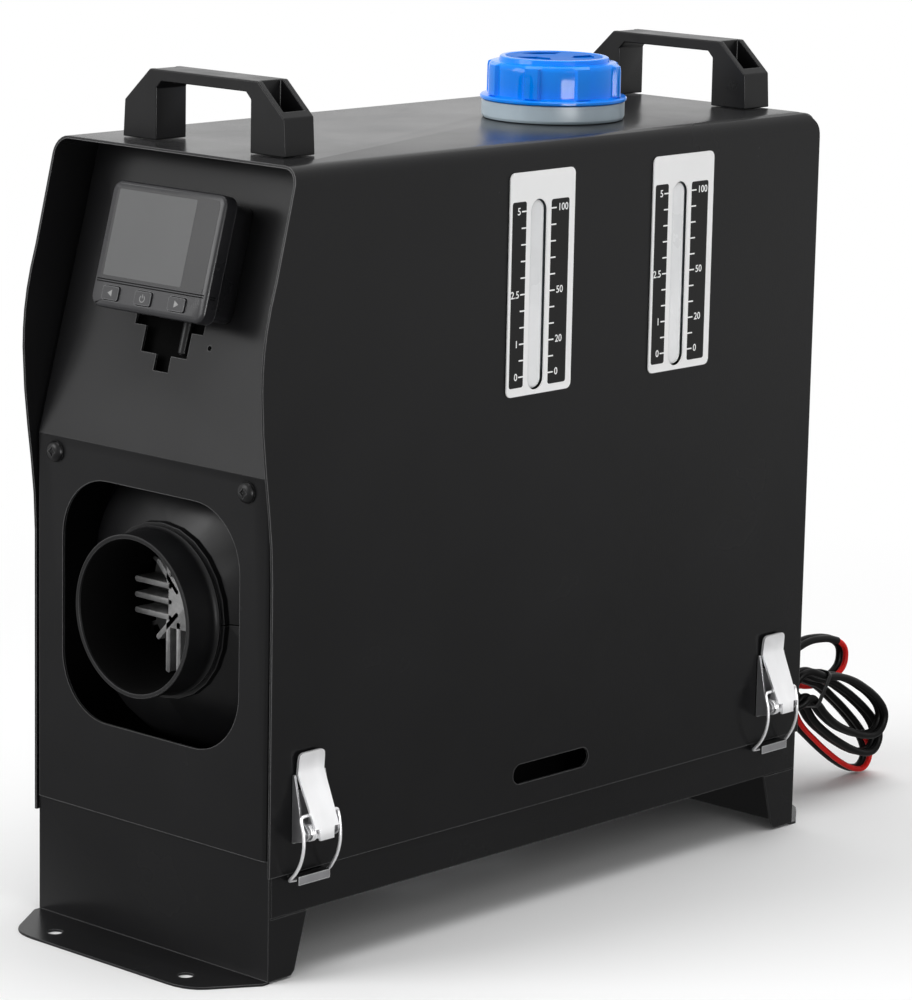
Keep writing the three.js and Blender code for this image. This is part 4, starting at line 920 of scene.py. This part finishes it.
class HEATER_OT_controller(Operator):
    """Make the controller with its display, its dark window and its three buttons"""

    bl_idname = "heater.controller"
    bl_label = "Controller"

    def execute(self, context):
        glass, black = look("dark_display_window"), look("unlit_black")
        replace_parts(housing(), "controller_housing")
        dressed("controller_screen", glass, 0.25)
        slab("controller_window", round_rect(*WINDOW), FACE - 0.06, FACE + 0.06, glass, turn=SLOPE)
        slab("display", round_rect(*DISPLAY), FACE, FACE + 0.1, look("grey_display"), turn=SLOPE)
        across = SLOPE @ Matrix.Rotation(pi / 2, 4, "X")
        for i, up in enumerate(SEAM_UPS):
            slab(f"controller_seam_{i}", round_rect(*SEAM), -up - SEAM_HALF, -up + SEAM_HALF,
                 black, turn=across)
        for label in BUTTONS:
            dressed(f"button_{label}", look("controller_plastic"), 0.35)
        for label, sign in (("left", 1), ("right", -1)):
            arrow = [(BUTTONS[label] + sign * dx, BUTTON_UP + dy) for dx, dy in ARROW]
            slab(f"arrow_{label}", arrow[::sign], *BUTTON_PRINT, look("printed_grey"),
                 f"button_{label}", SLOPE)
        # painted shade: a near-black box filling the cut-out behind the panel
        joined("controller_lead_guard", [
            slab(f"guard_{name}", round_rect(*outline),
                 *(SHADE_BOX_FLOOR_LIES if name == "floor" else SHADE_BOX_WALL_LIES), black, turn=SLOPE)
            for name, outline in CUTOUT_SHADE_BOX.items()
        ])
        plug = turned("controller_plug", PLUG, look("grained_black_plastic"), "case", steps=32)
        plug.data.transform(SLOPE @ Matrix.Translation(Vector(PLUG_AT) * MM)
                            @ Matrix.Rotation(-pi / 2, 4, "X"))
        power_symbol()
        return {"FINISHED"}


# ---- latches

LATCH_Y = 156.9
# out from the case's side, and height
PIN = (7.5, 66.5)
BAIL_PIVOT = (7.5, 74.2)
BAIL_LEG = [(7.5, 73.2), (9.1, 66), (8.5, 57), (4.7, 49), (1.2, 45.2)]
BAIL_TOE = (0.2, 44.4)
BAIL_HALF = 11
BAIL_WIRE = 0.75
SPRING_RADIUS, SPRING_WIRE = 3.3, 0.42
SPRING_TURNS, SPRING_STEPS = 3, 8
SPRING_ENDS = (-7.7, -4.6)
CATCH_FACE = (45, 18.8, 3.8, 0.3)  # height of its middle, width, height, corner
CATCH_LIES = (79.75, 79.92)


def latch_wire(name, end, sign, points, wire, body):
    """A zinc wire through points (out of the case's side, along it from the latch, up)."""
    route = [Vector((sign * (CASE_SIDE + out), ENDS[end] * LATCH_Y + y, z)) * MM
             for out, y, z in points]
    return as_mesh(smooth_line(name, route, wire, look("bright_zinc_plate")), body)


def wire_bail(end, side, sign):
    out, up = BAIL_PIVOT
    toe_out, toe_up = BAIL_TOE

    def half(way):
        return [(out, way * 2.4, up), (out, way * 9, up), (out, way * 10.5, up - 0.3),
                *[(leg_out, way * BAIL_HALF, z) for leg_out, z in BAIL_LEG],
                (toe_out, way * (BAIL_HALF - 1), toe_up)]

    node = f"latch_bail_{end}_{side}"
    piece = latch_wire(f"{node}_piece", end, sign, half(-1) + half(1)[::-1], BAIL_WIRE,
                       body_at(node))
    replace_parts(piece, node)


def latch_spring(end, side, sign):
    """The wire wound round the bracket's pin, between an ear and the lever."""
    out, up = PIN
    first, last = SPRING_ENDS
    count = SPRING_TURNS * SPRING_STEPS
    points = []
    for i in range(count + 1):
        around = 2 * pi * i / SPRING_STEPS
        points.append((out + SPRING_RADIUS * cos(around), first + (last - first) * i / count,
                       up + SPRING_RADIUS * sin(around)))
    latch_wire(f"latch_spring_{end}_{side}", end, sign, points, SPRING_WIRE, "case")


def catch_face(end, side, sign):
    """A grey zinc-coloured face on the tray's black catch: a painted sheen."""
    outline = round_rect(ENDS[end] * LATCH_Y, *CATCH_FACE)
    slab(f"catch_face_{end}_{side}", outline, *sorted(sign * x for x in CATCH_LIES),
         look("dull_zinc_plate"), turn=RIGHT_SIDE)


class HEATER_OT_latches(Operator):
    """Dress the four draw latches: brackets, levers, wire bails, springs and catches"""

    bl_idname = "heater.latches"
    bl_label = "Draw Latches"

    def execute(self, context):
        for end in ENDS:
            for side, sign in SIDES.items():
                # the brackets in darkened zinc: painted shade behind the levers
                dressed(f"latch_bracket_{end}_{side}", look("dull_zinc_plate"), 0.2, angle=50)
                dressed(f"latch_lever_{end}_{side}", look("bright_zinc_plate"), 0.35)
                wire_bail(end, side, sign)
                latch_spring(end, side, sign)
                catch_face(end, side, sign)
        return {"FINISHED"}


# ---- heater inside

SPIGOT = [(33.9, -189.9), (34.2, -190.0), (35.5, -190.0), (35.8, -189.7), (35.8, -176), (36, -175),
          (36.5, -174), (37.2, -173.4), (37.2, -172.3), (33.8, -172.3), (33.8, -189.7),
          (33.9, -189.9)]
# a near-black sleeve just inside the outlet's bore: painted shade inside the outlet
OUTLET_SHADE_SLEEVE = [(33.76, -188.8), (33.76, -150), (33.3, -150), (33.6, -188.8), (33.76, -188.8)]
STUB = [(10.5, 8), (11.9, 8), (12, 8.2), (12, 11), (12.5, 11.8), (12.7, 12.5), (12.5, 13.2),
        (12, 14), (12, 84.3), (10.5, 84.3), (10.5, 8)]
STUB_YS = {"exhaust_pipe": -25, "combustion_air_pipe": 25}
NOSE_LIES = (147, 158.5)  # in front of the heater's middle
NOSE_HUB = (0, 0, 21, 23, 1.5)
FIN, FIN_CORNER = 2.6, 1.2
FINISHED_AS_THEY_ARE = {
    # the heat exchanger darkened: painted shade deep behind the outlet
    "heat_exchanger": "sooty_cast_aluminium", "burner_tube": "plain_steel",
    "glow_plug": "plain_steel", "blower_motor": "plain_steel", "motor_shaft": "plain_steel",
    "combustion_wheel": "cast_aluminium", "blower_wheel": "heater_casing_plastic",
    "control_unit": "heater_casing_plastic", "heater_gasket": "black_rubber",
}


def exchanger_nose():
    """The finned front of the heat exchanger, seen through the outlet."""
    stand = (Matrix.Translation(Vector((0, 0, AIR_HEIGHT)) * MM)
             @ Matrix.Rotation(pi / 2, 4, "X"))
    fins = [(side * 20, up, 24, FIN) for up in (-7, 0, 7) for side in (-1, 1)]
    for x in (-10.6, -4, 4, 10.6):
        fins += [(x, -20, FIN, 24), (x, 12.5, FIN, 9)]
    outlines = [round_rect(*NOSE_HUB), *[round_rect(*fin, FIN_CORNER) for fin in fins]]
    placed = [(f"nose_{i}", outline, stand) for i, outline in enumerate(outlines)]
    spoke = round_rect(15.5, 0, 19, FIN, FIN_CORNER)
    for i, (x, up) in enumerate([(1, 1), (1, -1), (-1, 1), (-1, -1)]):
        turn = Matrix.Rotation(atan2(up, x), 4, "Z")
        placed.append((f"nose_spoke_{i}", spoke, stand @ turn))
    joined("heat_exchanger_nose", [
        slab(name, outline, *NOSE_LIES, look("cast_aluminium"), turn=turn, round_by=0.3)
        for name, outline, turn in placed
    ])


class HEATER_OT_air_heater(Operator):
    """Dress the air heater inside the case, its outlet spigot, wheels, pipes and cradle"""

    bl_idname = "heater.air_heater"
    bl_label = "Air Heater"

    def execute(self, context):
        middle = (0, 0, AIR_HEIGHT)
        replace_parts(turned("outlet_spigot_piece", SPIGOT, look("heater_casing_plastic"), "case",
                           middle, "y", 128, 40), "outlet_spigot")
        # painted shade inside the outlet's bore
        turned("outlet_lining", OUTLET_SHADE_SLEEVE, look("unlit_black"), "case", middle, "y", 96)
        exchanger_nose()
        for node in ("heater_lower_casing", "heater_upper_casing"):
            dressed(node, look("heater_casing_plastic"), 0.4, angle=50)
        for node, name in FINISHED_AS_THEY_ARE.items():
            coated(node, look(name))
        dressed("intake_grille", look("heater_casing_plastic"), 0.3)
        dressed("heater_cradle", look("satin_powder_coat"), 0.2)
        for node, y in STUB_YS.items():
            stub = turned(f"{node}_piece", STUB, look("plain_steel"), "case", (0, y, 0), steps=64)
            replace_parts(stub, node)
        return {"FINISHED"}


class HEATER_OT_fuel_line(Operator):
    """Dress the fuel filter, the dosing pump and the fuel hoses"""

    bl_idname = "heater.fuel_line"
    bl_label = "Fuel Line"

    def execute(self, context):
        for node in ("fuel_filter", "fuel_pump", "suction_line", "filter_line", "feed_line"):
            name = "plain_steel" if node == "fuel_pump" else "milky_tank_plastic"
            dressed(node, look(name), 0.3, angle=60)
        return {"FINISHED"}


# ---- stage

CAMERA = {"azimuth": 42.75, "elevation": 11.66, "roll": 1.16, "distance": 1908.39, "aside": 9.42,
          "height": 175.93, "lens": 148.96}
# each lamp: its place, what it is aimed at, width and height in metres, watts
LAMPS = {
    "front_box": ((-0.9, -2.0, 1.2), (0, -0.18, 0.25), 1.2, 1.4, 32),
    "side_box": ((2.3, -0.5, 1.5), (0.07, -0.05, 0.3), 1.0, 1.2, 5),
    "top_box": ((0.1, 0.2, 2.2), (0, 0, 0.3), 1.6, 1.6, 26),
    "slope_box": ((-1.35, -1.65, 0.95), (0, -0.17, 0.27), 1.0, 0.5, 2),
    "low_box": ((1.12, -0.42, 0.2), (0.015, 0.058, 0.36), 0.5, 0.36, 9),
}
SEEN_IN_REFLECTIONS_ONLY = ("slope_box", "low_box")
WHITE = (1, 1, 1, 1)
AMBIENT = 0.4
FLOOR_HALF = 6  # metres
FLOOR_WHITE = (0.97, 0.97, 0.97, 1)
# metres from the object's middle: the camera's floor turns plain white, and the mirrored floor
# grows from dim to full
WHITE_FROM, WHITE_TO = 0.3, 0.85
DIM_FROM, DIM_TO, DIM = 0.25, 1.9, 0.42


def seen_directly(tree):
    """1 for the rays of the camera, of reflections and of glass, otherwise 0."""
    path = add(tree, "LightPath")
    total = path.outputs["Is Camera Ray"]
    for ray in ("Is Glossy Ray", "Is Transmission Ray"):
        total = add(tree, "Math", {0: total, 1: path.outputs[ray]}, operation="MAXIMUM").outputs[0]
    return total


def shaders_mixed(tree, share, first, second):
    return add(tree, "MixShader", {"Fac": share, 1: first, 2: second}).outputs["Shader"]


def studio_world():
    """White where the camera and reflections meet it, softer as light on the object."""
    world = bpy.data.worlds.new("studio_white")
    world.use_nodes = True
    tree = world.node_tree
    soft = tree.nodes["Background"]
    feed(tree, soft, {"Color": WHITE, "Strength": AMBIENT})
    seen = add(tree, "Background", {"Color": WHITE, "Strength": 1})
    surface = shaders_mixed(tree, seen_directly(tree), soft.outputs["Background"],
                            seen.outputs["Background"])
    feed(tree, tree.nodes["World Output"], {"Surface": surface})
    return world


def pale_floor():
    """A pale matt floor with soft shadows near the object, white further off."""
    material = bpy.data.materials.new("pale_floor")
    material.use_nodes = True
    tree = material.node_tree
    shader = tree.nodes["Principled BSDF"]
    grain = add(tree, "TexNoise", {"Scale": 300})
    bump = add(tree, "Bump", {"Strength": 0.02, "Height": grain.outputs["Fac"]})
    feed(tree, shader, {
        "Base Color": FLOOR_WHITE, "Roughness": 0.9, "Specular IOR Level": 0.1,
        "Normal": bump.outputs["Normal"],
    })
    place = add(tree, "NewGeometry")
    distance = add(tree, "VectorMath", {0: place.outputs["Position"]},
                   operation="LENGTH").outputs["Value"]
    far = add(tree, "MapRange", {
        "From Min": WHITE_FROM, "From Max": WHITE_TO, "Value": distance,
    }, interpolation_type="SMOOTHSTEP")
    share = add(tree, "Math", {0: far.outputs["Result"], 1: seen_directly(tree)},
                operation="MULTIPLY").outputs[0]
    white = add(tree, "Emission", {"Strength": 1})
    seen = shaders_mixed(tree, share, shader.outputs["BSDF"], white.outputs["Emission"])
    dimmed = add(tree, "MapRange", {
        "From Min": DIM_FROM, "From Max": DIM_TO, "To Min": DIM, "Value": distance,
    })
    mirrored = add(tree, "Emission", {"Strength": dimmed.outputs["Result"]})
    path = add(tree, "LightPath")
    surface = shaders_mixed(tree, path.outputs["Is Glossy Ray"], seen,
                            mirrored.outputs["Emission"])
    feed(tree, tree.nodes["Material Output"], {"Surface": surface})
    return material


def studio_floor():
    mesh = bpy.data.meshes.new("studio_floor")
    corners = [(x * FLOOR_HALF, y * FLOOR_HALF, 0) for x, y in ((-1, -1), (1, -1), (1, 1), (-1, 1))]
    mesh.from_pydata(corners, [], [(0, 1, 2, 3)])
    mesh.materials.append(pale_floor())
    linked("studio_floor", mesh)


def studio_camera():
    """The photograph's camera: turned about the object, lifted, rolled and set aside."""
    a, e, roll = (radians(CAMERA[k]) for k in ("azimuth", "elevation", "roll"))
    back = Vector((sin(a) * cos(e), -cos(a) * cos(e), sin(e)))
    right = Vector((cos(a), sin(a), 0))
    up = back.cross(right)
    turned_right = right * cos(roll) + up * sin(roll)
    turned_up = up * cos(roll) - right * sin(roll)
    lift = Vector((0, 0, CAMERA["height"]))
    place = (back * CAMERA["distance"] + right * CAMERA["aside"] + lift) * MM
    camera = linked("studio_camera", bpy.data.cameras.new("studio_camera"))
    camera.data.lens = CAMERA["lens"]
    camera.data.sensor_width = 36
    camera.data.clip_end = 50
    camera.matrix_world = Matrix(
        [(turned_right[i], turned_up[i], back[i], place[i]) for i in range(3)] + [(0, 0, 0, 1)]
    )
    bpy.context.scene.camera = camera


class HEATER_OT_stage(Operator):
    """Make the pale floor, the soft studio light and the camera"""

    bl_idname = "heater.stage"
    bl_label = "Stage"

    def execute(self, context):
        studio_camera()
        studio_floor()
        for name, (place, aim, width, height, watts) in LAMPS.items():
            lamp = bpy.data.lights.new(name, "AREA")
            lamp.shape = "RECTANGLE"
            lamp.size, lamp.size_y, lamp.energy = width, height, watts
            made = linked(name, lamp)
            made.location = place
            made.rotation_mode = "QUATERNION"
            made.rotation_quaternion = (Vector(aim) - Vector(place)).to_track_quat("-Z", "Y")
            made.visible_diffuse = name not in SEEN_IN_REFLECTIONS_ONLY
        context.scene.world = studio_world()
        context.scene.view_settings.view_transform = "Standard"
        return {"FINISHED"}


# ---- panel

OPERATORS = (
    HEATER_OT_stage, HEATER_OT_leads, HEATER_OT_case, HEATER_OT_panel_screws, HEATER_OT_handles,
    HEATER_OT_level_plates, HEATER_OT_fuel_tank, HEATER_OT_filler_cap, HEATER_OT_controller,
    HEATER_OT_latches, HEATER_OT_air_heater, HEATER_OT_fuel_line,
)


class HEATER_PT_build(Panel):
    """The heater's pieces and settings"""

    bl_label = "Air Heater"
    bl_idname = "HEATER_PT_build"
    bl_space_type = "VIEW_3D"
    bl_region_type = "UI"
    bl_category = "Air Heater"

    def draw(self, context):
        for step in OPERATORS:
            self.layout.operator(step.bl_idname)
        for group in (context.scene.heater_sizes, context.scene.heater_colours):
            for key in group.__annotations__:
                self.layout.prop(group, key)


CLASSES = (HeaterSizes, HeaterColours, *OPERATORS, HEATER_PT_build)


def register():
    for one in CLASSES:
        bpy.utils.register_class(one)
    bpy.types.Scene.heater_sizes = PointerProperty(type=HeaterSizes)
    bpy.types.Scene.heater_colours = PointerProperty(type=HeaterColours)


def unregister():
    del bpy.types.Scene.heater_colours
    del bpy.types.Scene.heater_sizes
    for one in reversed(CLASSES):
        bpy.utils.unregister_class(one)


def main():
    register()
    for step in OPERATORS:
        group, action = step.bl_idname.split(".")
        getattr(getattr(bpy.ops, group), action)()


if __name__ == "__main__":
    main()
